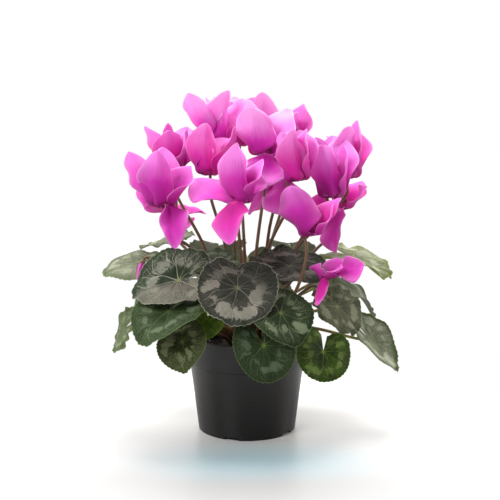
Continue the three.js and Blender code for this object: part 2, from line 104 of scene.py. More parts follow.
def triples(*parts: Any) -> Array:
    """Joins three numbers or arrays into points or vectors, each stretched to the widest of them."""
    return np.stack(np.broadcast_arrays(*parts), axis=-1)


def share_along(line: Array) -> Array:
    """The share of a line's length at each of its points."""
    steps = np.linalg.norm(np.diff(line, axis=0), axis=1)
    return np.concatenate([[0.0], np.cumsum(steps)]) / steps.sum()


class Slot(Enum):
    """The record's material slots."""

    LEAF = "leaf"
    YOUNG_LEAF = "young_leaf"
    PETAL = "petal"
    FLOWER_STEM = "flower_stem"
    TUBER = "tuber"
    COMPOST = "compost"
    POT = "pot_plastic"


# Node trees


class Signal:
    """One output socket of a tree, with arithmetic that adds Math nodes."""

    def __init__(self, bench: "Bench", socket: bpy.types.NodeSocket) -> None:
        """Wraps a socket of the bench's tree."""
        self.bench = bench
        self.socket = socket

    def math(self, operation: str, *others: "float | Signal") -> "Signal":
        """Adds a Math node on this signal and the others.

        Args:
            operation: The Math node's operation.
            others: The node's second and third values.

        Returns:
            The node's result.
        """
        return self.bench.math(operation, self, *others)

    def __add__(self, other: "float | Signal") -> "Signal":
        """The sum."""
        return self.math("ADD", other)

    def __sub__(self, other: "float | Signal") -> "Signal":
        """The difference."""
        return self.math("SUBTRACT", other)

    def __rsub__(self, other: "float | Signal") -> "Signal":
        """The difference, from a number."""
        return self.bench.math("SUBTRACT", other, self)

    def __mul__(self, other: "float | Signal") -> "Signal":
        """The product."""
        return self.math("MULTIPLY", other)

    def __truediv__(self, other: "float | Signal") -> "Signal":
        """The quotient."""
        return self.math("DIVIDE", other)

    def __pow__(self, other: "float | Signal") -> "Signal":
        """The power."""
        return self.math("POWER", other)

    __radd__ = __add__
    __rmul__ = __mul__

    def absolute(self) -> "Signal":
        """The value without its sign."""
        return self.math("ABSOLUTE")

    def sine(self) -> "Signal":
        """The sine of the value in radians."""
        return self.math("SINE")

    def rounded(self) -> "Signal":
        """The nearest whole number."""
        return self.math("ROUND")

    def at_least(self, low: "float | Signal") -> "Signal":
        """The larger of the value and low."""
        return self.math("MAXIMUM", low)

    def at_most(self, high: "float | Signal") -> "Signal":
        """The smaller of the value and high."""
        return self.math("MINIMUM", high)

    def smooth(self, low: "float | Signal", high: "float | Signal") -> "Signal":
        """Eases from 0 where the value is low to 1 where it is high."""
        inputs = {"Value": self, "From Min": low, "From Max": high}
        return self.bench.make("ShaderNodeMapRange", {"interpolation_type": "SMOOTHSTEP"}, inputs)

    def pick(self, output: "str | int") -> "Signal":
        """Another output of the same node."""
        return Signal(self.bench, self.socket.node.outputs[output])


class Bench:
    """A node tree under construction, with the one method that adds its nodes."""

    def __init__(self, tree: bpy.types.NodeTree) -> None:
        """Starts on an emptied tree."""
        self.tree = tree
        tree.nodes.clear()

    def make(
        self,
        kind: str,
        settings: dict[str, Any] | None = None,
        inputs: dict[str | int, Any] | None = None,
        output: str | int = 0,
    ) -> Signal:
        """Adds one node.

        Args:
            kind: The node's type.
            settings: Its own properties, set before its sockets.
            inputs: Values or signals for its input sockets, by name or by place.
            output: Which output the signal stands for.

        Returns:
            The chosen output, or the node's first input where it has no output.
        """
        node = self.tree.nodes.new(kind)
        for name, value in (settings or {}).items():
            setattr(node, name, value)
        for key, value in (inputs or {}).items():
            if isinstance(value, Signal):
                self.tree.links.new(value.socket, node.inputs[key])
            else:
                node.inputs[key].default_value = value
        return Signal(self, node.outputs[output] if len(node.outputs) else node.inputs[0])

    def math(self, operation: str, *values: float | Signal) -> Signal:
        """Adds a Math node on up to three values."""
        return self.make("ShaderNodeMath", {"operation": operation}, dict(enumerate(values)))

    def vector(self, *numbers: float | Signal) -> Signal:
        """A vector from three numbers."""
        return self.make("ShaderNodeCombineXYZ", inputs=dict(enumerate(numbers)))

    def parts(self, vector: Signal) -> tuple[Signal, Signal, Signal]:
        """The three numbers of a vector."""
        split = self.make("ShaderNodeSeparateXYZ", inputs={0: vector})
        return split, split.pick(1), split.pick(2)


class MaterialBench(Bench):
    """The node tree of one material."""

    def __init__(self, name: str) -> None:
        """Makes the material and empties its tree.

        Args:
            name: The material's name.
        """
        self.material = bpy.data.materials.new(name)
        self.material.use_nodes = True
        super().__init__(self.material.node_tree)

    def attribute(self, name: str, output: str = "Fac") -> Signal:
        """Reads a value that the mesh carries."""
        return self.make("ShaderNodeAttribute", {"attribute_name": name}, output=output)

    def place(self) -> Signal:
        """The place on the object, in metres."""
        return self.make("ShaderNodeTexCoord", output="Object")

    def noise(self, place: Signal, scale: float, detail: float = 2.0) -> Signal:
        """Soft noise about zero, from -0.5 to 0.5."""
        inputs = {"Vector": place, "Scale": scale, "Detail": detail}
        return self.make("ShaderNodeTexNoise", inputs=inputs) - 0.5

    def walls(self, place: Signal, scale: float) -> Signal:
        """How far a place is from the nearest wall of a net of cells."""
        inputs = {"Vector": place, "Scale": scale}
        return self.make("ShaderNodeTexVoronoi", {"feature": "DISTANCE_TO_EDGE"}, inputs)

    def ramp(self, share: Signal, *stops: tuple[float, Colour]) -> Signal:
        """A colour that runs through stops.

        Args:
            share: The place on the ramp.
            stops: The places and colours, in rising order.

        Returns:
            The colour.
        """
        colour = self.make("ShaderNodeValToRGB", inputs={"Fac": share})
        elements = colour.socket.node.color_ramp.elements
        while len(elements) < len(stops):
            elements.new(1.0)
        for element, (position, shade) in zip(elements, stops):
            element.position = position
            element.color = shade
        return colour

    def blend(self, share: float | Signal, start: Any, end: Any) -> Signal:
        """Mixes two colours, all start where the share is 0 and all end where it is 1."""
        return self.make("ShaderNodeMix", {"data_type": "RGBA"}, {0: share, 6: start, 7: end}, output=2)

    def bump(self, height: Signal, distance: float, strength: float) -> Signal:
        """A surface normal raised by a height signal, with its full distance in metres."""
        inputs = {"Strength": strength, "Distance": distance, "Height": height}
        return self.make("ShaderNodeBump", inputs=inputs)

    def surface(
        self,
        colour: Signal,
        roughness: Signal,
        normal: Signal | None = None,
        specular: float = 0.5,
        sheen: float = 0.0,
        glow: float = 0.0,
        through: Colour = WHITE,
    ) -> bpy.types.Material:
        """Ends the material in one glossy surface, with light shining through it if it is thin.

        Args:
            colour: The base colour.
            roughness: How rough it is, from 0 to 1.
            normal: The bumped normal.
            specular: How strongly it reflects.
            sheen: How much soft sheen it has.
            glow: The share of light that passes through.
            through: The colour of that light.

        Returns:
            The finished material.
        """
        inputs = {"Base Color": colour, "Roughness": roughness, "Specular IOR Level": specular}
        if normal:
            inputs["Normal"] = normal
        if sheen:
            inputs["Sheen Weight"] = sheen
        shader = self.make("ShaderNodeBsdfPrincipled", inputs=inputs)
        if glow:
            sheer = self.make("ShaderNodeBsdfTranslucent", inputs={"Color": through})
            shader = self.make("ShaderNodeMixShader", inputs={0: glow, 1: shader, 2: sheer})
        self.make("ShaderNodeOutputMaterial", inputs={"Surface": shader})
        return self.material


# Finishes


@dataclass(frozen=True)
class LeafFinish:
    """The marbled skin of a leaf blade, drawn in the blade's own polar places."""

    name: str
    deep: Colour = paint(26, 40, 18)
    fresh: Colour = paint(50, 70, 34)
    silver: Colour = paint(124, 140, 112)
    vein: Colour = paint(150, 164, 118)
    under: Colour = paint(112, 116, 88)
    # The veil is a silvery cast over the blade, partly the leaf's own and partly painted sheen; kept to one
    # half, it is painted sheen.
    veil_and_sheen_colour: Colour = paint(132, 126, 116)
    silver_share: float = 0.9
    veil_and_sheen: float = 0.0
    painted_sheen_side: float = 0.0
    # How much painted sheen raises the silver towards the tip.
    painted_tip_sheen: float = 0.0
    # Direction across the blade in which a painted shade darkens one side.
    painted_shade: Pair = (0.0, 0.0)
    vein_start: float = 0.25
    vein_strength: float = 0.25
    patchy: float = 1.6
    speckled: float = 0.5
    netted: float = 0.22
    rimmed: float = 0.0
    junction: Colour = paint(128, 142, 48)
    navel: float = 0.6
    roughness: float = 0.5
    glow: float = 0.12
    through: Colour = paint(120, 160, 50)
    specular: float = 0.15
    fork_at: float = 0.36
    fork_spread: float = 0.58
    twig_at: float = 0.56
    twig_spread: float = 0.52
    mesh_scale: float = 13.0
    patch_ring: float = 0.46
    rim: Pair = (0.82, 0.95)
    relief: float = 0.9 * MM

    def material(self) -> bpy.types.Material:
        """Builds the material.

        Returns:
            The finished material.
        """
        bench = MaterialBench(self.name)
        x, y, under = bench.parts(bench.attribute("blade", "Vector"))
        share = bench.attribute("share")
        seed = bench.attribute("seed")
        place = bench.vector(x + seed * 5.0, y - seed * 3.0, seed)
        soft = bench.noise(place, 2.6)
        mottle = bench.noise(place, 7.5, 3.0)
        fine = bench.noise(place, 26.0, 3.0)
        angle = wander(bench.math("ARCTAN2", y, x), share, seed, Signal.sine)
        sector = angle * (VEINS / math.tau) + mottle * 0.06
        offset = (sector - sector.rounded()).absolute()
        width = share * (math.tau / VEINS)
        main = 1 - (offset * width).smooth(0.003, 0.017 - share * 0.009)
        fork_gap = (offset - (share - self.fork_at).at_least(0.0) * self.fork_spread).absolute()
        fork = (1 - (fork_gap * width).smooth(0.002, 0.011)) * share.smooth(self.fork_at, self.fork_at + 0.1)
        twig_gap = (fork_gap - (share - self.twig_at).at_least(0.0) * self.twig_spread).absolute()
        twig = (1 - (twig_gap * width).smooth(0.001, 0.008)) * share.smooth(self.twig_at, self.twig_at + 0.1)
        inside = 1 - share.smooth(0.88, 0.96)
        veins = main.at_least(fork * 0.75).at_least(twig * 0.5) * inside
        net = bench.walls(bench.vector(x + mottle * 0.1, y + soft * 0.1, seed), self.mesh_scale)
        net = (1 - net.smooth(0.01, 0.05)) * share.smooth(0.3, 0.5) * inside
        cell = bench.vector(sector.math("FLOOR"), seed * 17.0, 0.0)
        chance = bench.make("ShaderNodeTexWhiteNoise", inputs={"Vector": cell}, output="Color")
        first, second, third = bench.parts(chance)
        middle = (0.5 - offset) * (first * 1.5 + 0.9)
        height = (share - self.patch_ring - second * 0.26) / (third * 0.18 + 0.10)
        blotch = (middle * middle + height * height) ** 0.5
        blotch = blotch + soft * self.patchy + mottle * 1.6 + fine * 0.9
        patches = (1 - blotch.smooth(0.52, 0.74)) * (second * 0.6 + 0.45)
        rays = (1 - (fork_gap * width + fine * 0.05).smooth(0.004, 0.030)) * (mottle + 0.45)
        rays = rays * share.smooth(0.46, 0.62) * (1 - share.smooth(0.74, 0.92))
        speckle = fine.smooth(0.06, 0.16) * share.smooth(0.55, 0.7) * (1 - share.smooth(0.85, 0.94))
        silver = patches.at_least(rays).at_least(speckle * self.speckled) * self.silver_share
        # Painted sheen: the silver grows towards the blade's tip.
        if self.painted_tip_sheen:
            silver = (silver * (1.0 + x * self.painted_tip_sheen)).at_least(0.0).at_most(1.0)
        # Painted shade over one side of the blade, which also thins its silver and veil there.
        painted_shade = (x * self.painted_shade[0] + y * self.painted_shade[1] + soft * 0.5).smooth(0.1, 0.45) * 0.85
        silver = silver * (1 - painted_shade)
        ground = bench.blend((soft * 1.4 + mottle + 0.5).smooth(0.15, 0.9), self.deep, self.fresh)
        ground = bench.blend(share.smooth(*self.rim) * 0.55, ground, self.fresh)
        colour = bench.blend(silver, ground, self.silver)
        # Silvery veil, partly the leaf's own cast and partly painted sheen; where it keeps to one side, that
        # half carries painted sheen.
        veil_and_sheen = (y * self.painted_sheen_side * 3.0 + soft).smooth(-0.2, 0.5) if self.painted_sheen_side else soft + 0.8
        veil_and_sheen = (veil_and_sheen * self.veil_and_sheen * (1.0 + mottle * 1.6 + silver * 0.5)).at_most(1.0).at_least(0.0)
        veil_and_sheen = veil_and_sheen * (1 - painted_shade) * (1 - (share + soft * 0.3).smooth(*self.rim) * self.rimmed)
        colour = bench.blend(veil_and_sheen, colour, self.veil_and_sheen_colour)
        line = veins * (self.vein_strength + silver * 0.5 + (1 - share.smooth(0.05, 0.5)) * self.vein_start)
        colour = bench.blend(line + net * self.netted, colour, self.vein)
        colour = bench.blend((1 - share.smooth(0.02, 0.11)) * self.navel, colour, self.junction)
        colour = bench.blend(share.smooth(0.975, 1.0) * 0.5, colour, self.vein)
        below = bench.blend(veins * 0.5 + mottle * 0.3 + 0.1, self.under, self.vein)
        colour = bench.blend(under, colour, below)
        rough = silver * 0.08 + mottle * 0.12 + self.roughness
        raised = veins * -0.8 - net * 0.35 + fine * 0.4 + mottle * 0.8 + silver * 0.12
        normal = bench.bump(raised, self.relief, 0.9)
        return bench.surface(colour, rough, normal, self.specular, glow=self.glow, through=self.through)


class LeafTone(Enum):
    """The looks that leaves of different age and light have."""

    DARK = LeafFinish("leaf_dark_marbled", silver=paint(106, 122, 94))
    GLOOMY = LeafFinish(
        "leaf_deep_marbled", deep=paint(14, 26, 8), fresh=paint(32, 50, 22), silver=paint(124, 138, 108)
    )
    OLIVE = LeafFinish(
        "leaf_olive", deep=paint(36, 42, 18), fresh=paint(66, 76, 36), silver=paint(146, 152, 112),
        patchy=2.8,
    )
    DULL = LeafFinish(
        "leaf_dull_marbled", deep=paint(30, 42, 22), fresh=paint(48, 64, 36), silver=paint(98, 116, 92),
        vein=paint(128, 146, 96),
    )
    # Its silver that grows towards the tip is painted sheen, and its darker side is painted shade.
    BRONZE = LeafFinish(
        "leaf_bronzed", deep=paint(22, 28, 22), fresh=paint(40, 46, 36), silver=paint(150, 148, 134),
        vein=paint(200, 198, 174), veil_and_sheen=0.18, veil_and_sheen_colour=paint(90, 84, 78), roughness=0.46, navel=0.3,
        painted_tip_sheen=0.6, painted_shade=(-0.6, 0.7), vein_start=0.0, patchy=3.4, speckled=0.12, netted=0.05,
    )
    SMOKY = LeafFinish(
        "leaf_smoky", deep=paint(18, 26, 18), fresh=paint(42, 50, 36), silver=paint(140, 138, 126),
        vein=paint(156, 154, 132), veil_and_sheen=0.26, veil_and_sheen_colour=paint(64, 60, 52), roughness=0.42, navel=0.2,
        vein_start=0.05,
    )
    # Painted sheen over one half of the blade.
    VEILED = LeafFinish(
        "leaf_half_silvered", deep=paint(22, 36, 22), fresh=paint(48, 64, 42), veil_and_sheen=0.5,
        painted_sheen_side=1.0, silver=paint(150, 154, 138), veil_and_sheen_colour=paint(140, 136, 122),
        vein=paint(192, 196, 170), vein_strength=0.5,
    )
    MOSSY = LeafFinish(
        "leaf_mossy_silver", deep=paint(34, 42, 22), fresh=paint(70, 76, 50),
        silver=paint(142, 146, 120), vein=paint(168, 172, 136), veil_and_sheen=0.22,
        veil_and_sheen_colour=paint(104, 102, 82), navel=0.3,
    )
    PALE = LeafFinish(
        "leaf_pale_silver", deep=paint(58, 72, 46), fresh=paint(92, 106, 68),
        silver=paint(176, 182, 158), vein=paint(196, 204, 168), veil_and_sheen=0.45,
        veil_and_sheen_colour=paint(152, 156, 132), glow=0.2, rimmed=0.8,
    )
    FROSTED = LeafFinish(
        "leaf_frosted", deep=paint(48, 64, 36), fresh=paint(84, 100, 60),
        silver=paint(214, 218, 196), vein=paint(216, 220, 190), veil_and_sheen=0.5,
        veil_and_sheen_colour=paint(180, 184, 160), glow=0.2, rimmed=1.0,
    )
    LIT = LeafFinish(
        "leaf_sunlit", deep=paint(38, 52, 18), fresh=paint(112, 126, 68), silver=paint(214, 218, 192),
        vein=paint(204, 210, 160), under=paint(150, 160, 92), veil_and_sheen=0.4, veil_and_sheen_colour=paint(196, 200, 168),
        patchy=2.6, glow=0.3, through=paint(170, 190, 70), rimmed=0.8,
    )
    HANGING = LeafFinish(
        "leaf_hanging", deep=paint(58, 78, 34), fresh=paint(90, 108, 62), silver=paint(160, 170, 138),
        vein=paint(180, 192, 144), veil_and_sheen=0.2, veil_and_sheen_colour=paint(130, 140, 104), glow=0.2,
    )
    FRESH = LeafFinish(
        "leaf_fresh_green", deep=paint(16, 28, 2), fresh=paint(50, 74, 12),
        silver=paint(104, 130, 62), vein=paint(150, 170, 86), through=paint(110, 160, 30),
    )
    # Paler green as young leaves are, and painted brighter still as painted light for leaves that stand in
    # shade.
    YOUNG = LeafFinish(
        "leaf_young", deep=paint(88, 116, 30), fresh=paint(130, 160, 56), silver=paint(160, 184, 112),
        vein=paint(170, 190, 100), silver_share=0.5, glow=0.25, through=paint(140, 180, 40),
    )


@dataclass(frozen=True)
class PetalFinish:
    """The satin skin of a petal, deep at the throat and paler to its edge."""

    name: str = "petal_magenta"
    throat: Colour = paint(118, 4, 84)
    low: Colour = paint(164, 20, 134)
    middle: Colour = paint(212, 50, 186)
    high: Colour = paint(250, 144, 242)
    edge: Colour = paint(255, 204, 252)
    streak: Colour = paint(140, 20, 122)
    hot: Colour = paint(226, 18, 140)
    through: Colour = paint(240, 66, 206)
    glow: float = 0.30
    specular: float = 0.25
    sheen: float = 0.03
    roughness: float = 0.52
    # Heights in metres over which petals go from painted shade to painted light.
    painted_light_between: Pair = (0.19, 0.31)
    sunlit_between: Pair = (0.26, 0.325)

    def material(self) -> bpy.types.Material:
        """Builds the material.

        Returns:
            The finished material.
        """
        bench = MaterialBench(self.name)
        share, column, seed = bench.parts(bench.attribute("petal", "Vector"))
        streaks = bench.noise(bench.vector(column * 7.0, share * 1.3, seed * 11.0), 2.6, 4.0)
        cloud = bench.noise(bench.vector(column * 0.9, share * 1.4, seed * 7.0), 1.6)
        _, _, level = bench.parts(bench.place())
        # Painted light and shade by height: petals high on the plant are painted paler and low ones darker,
        # as the overhead light falls.
        lift = (level.smooth(*self.painted_light_between) - 0.4) * 0.5
        climb = share * (lift + 1.0) + cloud * 0.4 + streaks * 0.12 + lift * 0.4 * share.smooth(0.1, 0.4)
        grown = bench.ramp(climb, (0.0, self.throat), (0.12, self.low), (0.5, self.middle), (1.0, self.high))
        side = column.absolute()
        sunlit = level.smooth(*self.sunlit_between) * (share + cloud * 0.8).smooth(0.2, 1.0) * 0.8
        colour = bench.blend(sunlit, grown, self.edge)
        colour = bench.blend((side ** 3.0) * 0.30 * share.smooth(0.2, 0.6), colour, self.edge)
        colour = bench.blend(side.smooth(0.93, 1.0) * 0.35, colour, self.edge)
        heat = ((seed * 41.0).sine() + cloud).smooth(0.1, 1.1) * (1 - share.smooth(0.5, 1.1)) * 0.45
        colour = bench.blend(heat, colour, self.hot)
        lines = streaks.smooth(0.02, 0.22) * 0.26 * (1 - share.smooth(0.6, 1.1))
        colour = bench.blend(lines, colour, self.streak)
        midrib = (1 - side.smooth(0.0, 0.12)) * 0.16 * (1 - share.smooth(0.4, 0.95))
        colour = bench.blend(midrib, colour, self.streak)
        normal = bench.bump(streaks, 0.35 * MM, 0.5)
        rough = streaks * 0.15 + self.roughness
        return bench.surface(colour, rough, normal, self.specular, self.sheen, self.glow, self.through)


@dataclass(frozen=True)
class StalkFinish:
    """A juicy round stalk, reddened at its foot, with fine lengthwise streaks."""

    name: str
    foot: Colour
    middle: Colour
    top: Colour
    streak: Colour
    specular: float = 0.4
    roughness: float = 0.46

    def material(self) -> bpy.types.Material:
        """Builds the material.

        Returns:
            The finished material.
        """
        bench = MaterialBench(self.name)
        along = bench.attribute("along")
        place = bench.place()
        x, y, z = bench.parts(place)
        streaks = bench.noise(bench.vector(x * 900.0, y * 900.0, z * 60.0), 1.0, 3.0)
        grown = along + bench.noise(place, 45.0) * 0.5
        ramp = bench.ramp(grown, (0.0, self.foot), (0.5, self.middle), (1.0, self.top))
        colour = bench.blend(streaks.smooth(-0.05, 0.25) * 0.45, ramp, self.streak)
        normal = bench.bump(streaks, 0.15 * MM, 0.5)
        return bench.surface(colour, streaks * 0.2 + self.roughness, normal, self.specular)


@dataclass(frozen=True)
class StyleFinish:
    """The waxy pale style that shows in a flower's mouth."""

    name: str = "style_wax"
    wax: Colour = paint(238, 190, 214)
    tip: Colour = paint(150, 60, 90)

    def material(self) -> bpy.types.Material:
        """Builds the material.

        Returns:
            The finished material.
        """
        bench = MaterialBench(self.name)
        share, _, _ = bench.parts(bench.attribute("petal", "Vector"))
        spots = bench.noise(bench.place(), 900.0)
        colour = bench.blend((share + spots * 0.4).smooth(0.7, 1.0), self.wax, self.tip)
        return bench.surface(colour, spots * 0.2 + 0.4)


@dataclass(frozen=True)
class CorkFinish:
    """The tuber's scurfy bark, cracked round its crown."""

    name: str = "tuber_cork"
    dark: Colour = paint(34, 24, 18)
    light: Colour = paint(88, 66, 48)

    def material(self) -> bpy.types.Material:
        """Builds the material.

        Returns:
            The finished material.
        """
        bench = MaterialBench(self.name)
        place = bench.place()
        scurf = bench.noise(place, 260.0, 5.0)
        broad = bench.noise(place, 60.0, 3.0)
        cracks = 1 - (bench.walls(place, 150.0) + scurf * 0.1).smooth(0.01, 0.08)
        colour = bench.blend((scurf + broad + 0.5).smooth(0.2, 0.9), self.dark, self.light)
        colour = bench.blend(cracks * 0.7, colour, self.dark)
        return bench.surface(colour, scurf * 0.2 + 0.85, bench.bump(scurf - cracks, 0.8 * MM, 0.8))


@dataclass(frozen=True)
class PeatFinish:
    """Moist peat, or the crumbs and the pale grit that lie in it."""

    name: str
    dark: Colour
    light: Colour
    grain: float = 420.0
    roughness: float = 0.92

    def material(self) -> bpy.types.Material:
        """Builds the material.

        Returns:
            The finished material.
        """
        bench = MaterialBench(self.name)
        place = bench.place()
        crumbs = bench.noise(place, self.grain, 5.0)
        damp = bench.noise(place, 50.0, 2.0)
        colour = bench.blend((crumbs + damp + 0.5).smooth(0.25, 0.95), self.dark, self.light)
        return bench.surface(colour, damp * 0.15 + self.roughness, bench.bump(crumbs, 0.9 * MM, 0.9))


@dataclass(frozen=True)
class PotFinish:
    """Black moulded plastic with a satin face, faint drawn rings, scuffs and a little dust."""

    name: str = "pot_black_plastic"
    black: Colour = paint(8, 8, 9)
    grey: Colour = paint(18, 17, 17)
    dust: Colour = paint(118, 112, 104)
    specular: float = 0.45
    roughness: float = 0.36
    ring_rate: float = 2600.0
    dusty_height: float = 0.016

    def material(self) -> bpy.types.Material:
        """Builds the material.

        Returns:
            The finished material.
        """
        bench = MaterialBench(self.name)
        place = bench.place()
        x, y, z = bench.parts(place)
        cloud = bench.noise(place, 24.0, 3.0)
        grain = bench.noise(place, 900.0, 2.0)
        rings = (z * self.ring_rate + cloud * 2.0).sine()
        scuffs = bench.noise(bench.vector(x * 60.0, y * 60.0, z * 700.0), 1.0, 3.0).smooth(0.13, 0.30)
        foot = 1 - z.smooth(0.0, self.dusty_height)
        specks = bench.noise(place, 520.0, 2.0).smooth(0.16, 0.26) * (foot * 0.5 + 0.08)
        colour = bench.blend((cloud + 0.5) * 0.6, self.black, self.grey)
        colour = bench.blend(scuffs * 0.10, colour, self.dust)
        colour = bench.blend(specks, colour, self.dust)
        normal = bench.bump(rings * 0.25 + grain * 0.5, 0.12 * MM, 0.6)
        rough = cloud * 0.12 + scuffs * 0.12 + self.roughness
        return bench.surface(colour, rough, normal, self.specular)


@dataclass(frozen=True)
class FloorFinish:
    """A white studio sweep that glows into the background away from the pot, with painted shade and a cool
    painted reflection in front of the pot and painted light behind it.
    """

    name: str = "studio_floor"
    painted_pot_reflection: Colour = (0.40, 0.54, 0.59, 1.0)
    painted_rear_light: Colour = (0.86, 0.85, 0.83, 1.0)
    plain: Colour = (0.62, 0.615, 0.61, 1.0)
    before: Colour = (0.44, 0.44, 0.435, 1.0)
    casting: Colour = (0.40, 0.395, 0.39, 1.0)
    near: float = 0.15
    far: float = 0.48
    back_fade: float = 0.9
    painted_reflection_at: Pair = (0.01, -0.10)
    painted_reflection_reach: Pair = (0.115, 0.06)
    roughness: float = 0.38
    specular: float = 0.9
    glow: float = 1.02

    def material(self) -> bpy.types.Material:
        """Builds the material.

        Returns:
            The finished material.
        """
        bench = MaterialBench(self.name)
        place = bench.place()
        x, y, _ = bench.parts(place)
        cloud = bench.noise(place, 3.0)
        away = (x * x + y * y) ** 0.5 + y.at_least(0.0) * self.back_fade + cloud * 0.03
        forward = 0.0 - y
        # Painted light behind the pot and painted shade in front of it.
        ground = bench.blend(forward.smooth(-0.02, 0.06), self.painted_rear_light, self.plain)
        ground = bench.blend(forward.smooth(0.05, 0.16), ground, self.before)
        # A cool painted reflection and shadow of the pot on the floor in front of it.
        sideways = (x - self.painted_reflection_at[0]) / self.painted_reflection_reach[0]
        ahead = (y - self.painted_reflection_at[1]) / self.painted_reflection_reach[1]
        outside_painted_reflection = ((sideways ** 2.0 + ahead ** 2.0) ** 0.5 + cloud * 1.2).smooth(0.3, 1.3)
        viewed = bench.make("ShaderNodeLightPath", output="Is Camera Ray")
        colour = bench.blend(viewed, self.casting, bench.blend(outside_painted_reflection, self.painted_pot_reflection, ground))
        finish = {"Base Color": colour, "Roughness": self.roughness, "Specular IOR Level": self.specular}
        matt = bench.make("ShaderNodeBsdfPrincipled", inputs=finish)
        glow = bench.make("ShaderNodeEmission", inputs={"Color": WHITE, "Strength": self.glow})
        fade = {0: away.smooth(self.near, self.far), 1: matt, 2: glow}
        mixed = bench.make("ShaderNodeMixShader", inputs=fade)
        bench.make("ShaderNodeOutputMaterial", inputs={"Surface": mixed})
        return bench.material


# Meshes


@dataclass
class Form:
    """One closed form: points in millimetres, faces, values on its points and a material's place."""

    points: Array
    faces: list[tuple[int, ...]]
    values: dict[str, Array] = field(default_factory=dict)
    paint_index: int = 0

    def polar(self) -> tuple[Array, Array]:
        """The bearing in radians and the distance of every point about the upright axis."""
        x, y, _ = self.points.T
        return np.arctan2(y, x), np.hypot(x, y)


def grid_faces(rows: int, columns: int, wrap: bool = False) -> list[tuple[int, ...]]:
    """The quads of a grid of points.

    Args:
        rows: How many rows of points there are.
        columns: How many points a row has.
        wrap: Whether each row closes on itself.

    Returns:
        The quads, facing rows crossed with columns.
    """
    faces = []
    for row in range(rows - 1):
        for column in range(columns if wrap else columns - 1):
            following = (column + 1) % columns
            low, high = row * columns, (row + 1) * columns
            faces.append((low + column, high + column, high + following, low + following))
    return faces


def sheet_form(middle: Array, half: Array, values: dict[str, Array], pole: bool) -> Form:
    """Thickens a sheet into a closed form with the same faces above and below.

    Args:
        middle: The sheet's points, rows by columns by three.
        half: Half the thickness at each point.
        values: Named values at each point; the one called blade has its third number set to 1 below.
        pole: Whether the first row is one point.

    Returns:
        The closed form.
    """
    rows, columns = middle.shape[:2]
    normals = np.cross(np.gradient(middle, axis=0), np.gradient(middle, axis=1))
    if pole:
        normals[0] = normals[1].mean(axis=0)
    normals /= np.maximum(np.linalg.norm(normals, axis=2, keepdims=True), 1e-9)
    lift = normals * half[..., None]
    points = np.concatenate([(middle + lift).reshape(-1, 3), (middle - lift).reshape(-1, 3)])
    count = rows * columns
    above = grid_faces(rows, columns)
    faces = above + [tuple(i + count for i in reversed(face)) for face in above]
    rim = [(r * columns, (r + 1) * columns) for r in range(rows - 1)]
    rim += [((rows - 1) * columns + c, (rows - 1) * columns + c + 1) for c in range(columns - 1)]
    rim += [((r + 1) * columns - 1 + columns, (r + 1) * columns - 1) for r in range(rows - 1)]
    rim += [(c + 1, c) for c in range(columns - 1)]
    faces += [(b, a, a + count, b + count) for a, b in rim]
    both = {}
    for name, value in values.items():
        flat = value.reshape(count, -1)
        under = flat.copy()
        if name == "blade":
            under[:, 2] = 1.0
        both[name] = np.concatenate([flat, under])
    return Form(points, faces, both)


def turned_form(profile: Sequence[Pair], segments: int, index: int = 0) -> Form:
    """Turns a profile of radius and height about the upright axis.

    Args:
        profile: Points that start and end on the axis.
        segments: How many steps the turn has.
        index: The material's place on the piece.

    Returns:
        The form, closed once its doubles on the axis are merged.
    """
    turn = np.arange(segments) * math.tau / segments
    radii, heights = np.array(profile, float).T[:, :, None]
    points = triples(radii * np.cos(turn), radii * np.sin(turn), heights)
    return Form(points.reshape(-1, 3), grid_faces(len(radii), segments, True), {}, index)


def rounded_profile(corners: Sequence[Point], steps: int = 4) -> list[Pair]:
    """Rounds the corners of a profile.

    Args:
        corners: Radius, height and rounding of each corner.
        steps: How many short lines a rounded corner has.

    Returns:
        The profile's points.
    """
    places = [np.array(corner[:2], float) for corner in corners]
    made = []
    for i, (radius, height, rounding) in enumerate(corners):
        if not rounding or i in (0, len(corners) - 1):
            made.append((radius, height))
            continue
        here = places[i]
        before = here + unit(places[i - 1] - here) * rounding
        after = here + unit(places[i + 1] - here) * rounding
        for step in range(steps + 1):
            t = step / steps
            made.append(tuple((1 - t) ** 2 * before + 2 * t * (1 - t) * here + t * t * after))
    return made


def smooth_path(stations: Sequence[Array], steps: int) -> Array:
    """Draws a smooth line through stations, as a centripetal spline does.

    Args:
        stations: The points that it passes.
        steps: How many short lines run between two stations.

    Returns:
        The points of the line.
    """
    padded = [2 * stations[0] - stations[1], *stations, 2 * stations[-1] - stations[-2]]
    t = (np.arange(steps) / steps)[:, None]
    lines = []
    for i in range(1, len(padded) - 2):
        p0, p1, p2, p3 = padded[i - 1 : i + 3]
        d0, d1, d2 = (math.sqrt(float(np.linalg.norm(b - a))) for a, b in ((p0, p1), (p1, p2), (p2, p3)))
        leaving = ((p1 - p0) / d0 - (p2 - p0) / (d0 + d1) + (p2 - p1) / d1) * d1
        coming = ((p2 - p1) / d1 - (p3 - p1) / (d1 + d2) + (p3 - p2) / d2) * d1
        square = -3 * p1 + 3 * p2 - 2 * leaving - coming
        cube = 2 * p1 - 2 * p2 + leaving + coming
        lines.append(p1 + leaving * t + square * t ** 2 + cube * t ** 3)
    lines.append(stations[-1][None, :])
    return np.concatenate(lines)


def add_object(name: str, data: bpy.types.ID) -> bpy.types.Object:
    """Puts a new object in the scene, at the origin.

    Args:
        name: The object's name.
        data: Its mesh, lamp or camera.

    Returns:
        The object.
    """
    made = bpy.data.objects.new(name, data)
    bpy.context.scene.collection.objects.link(made)
    return made


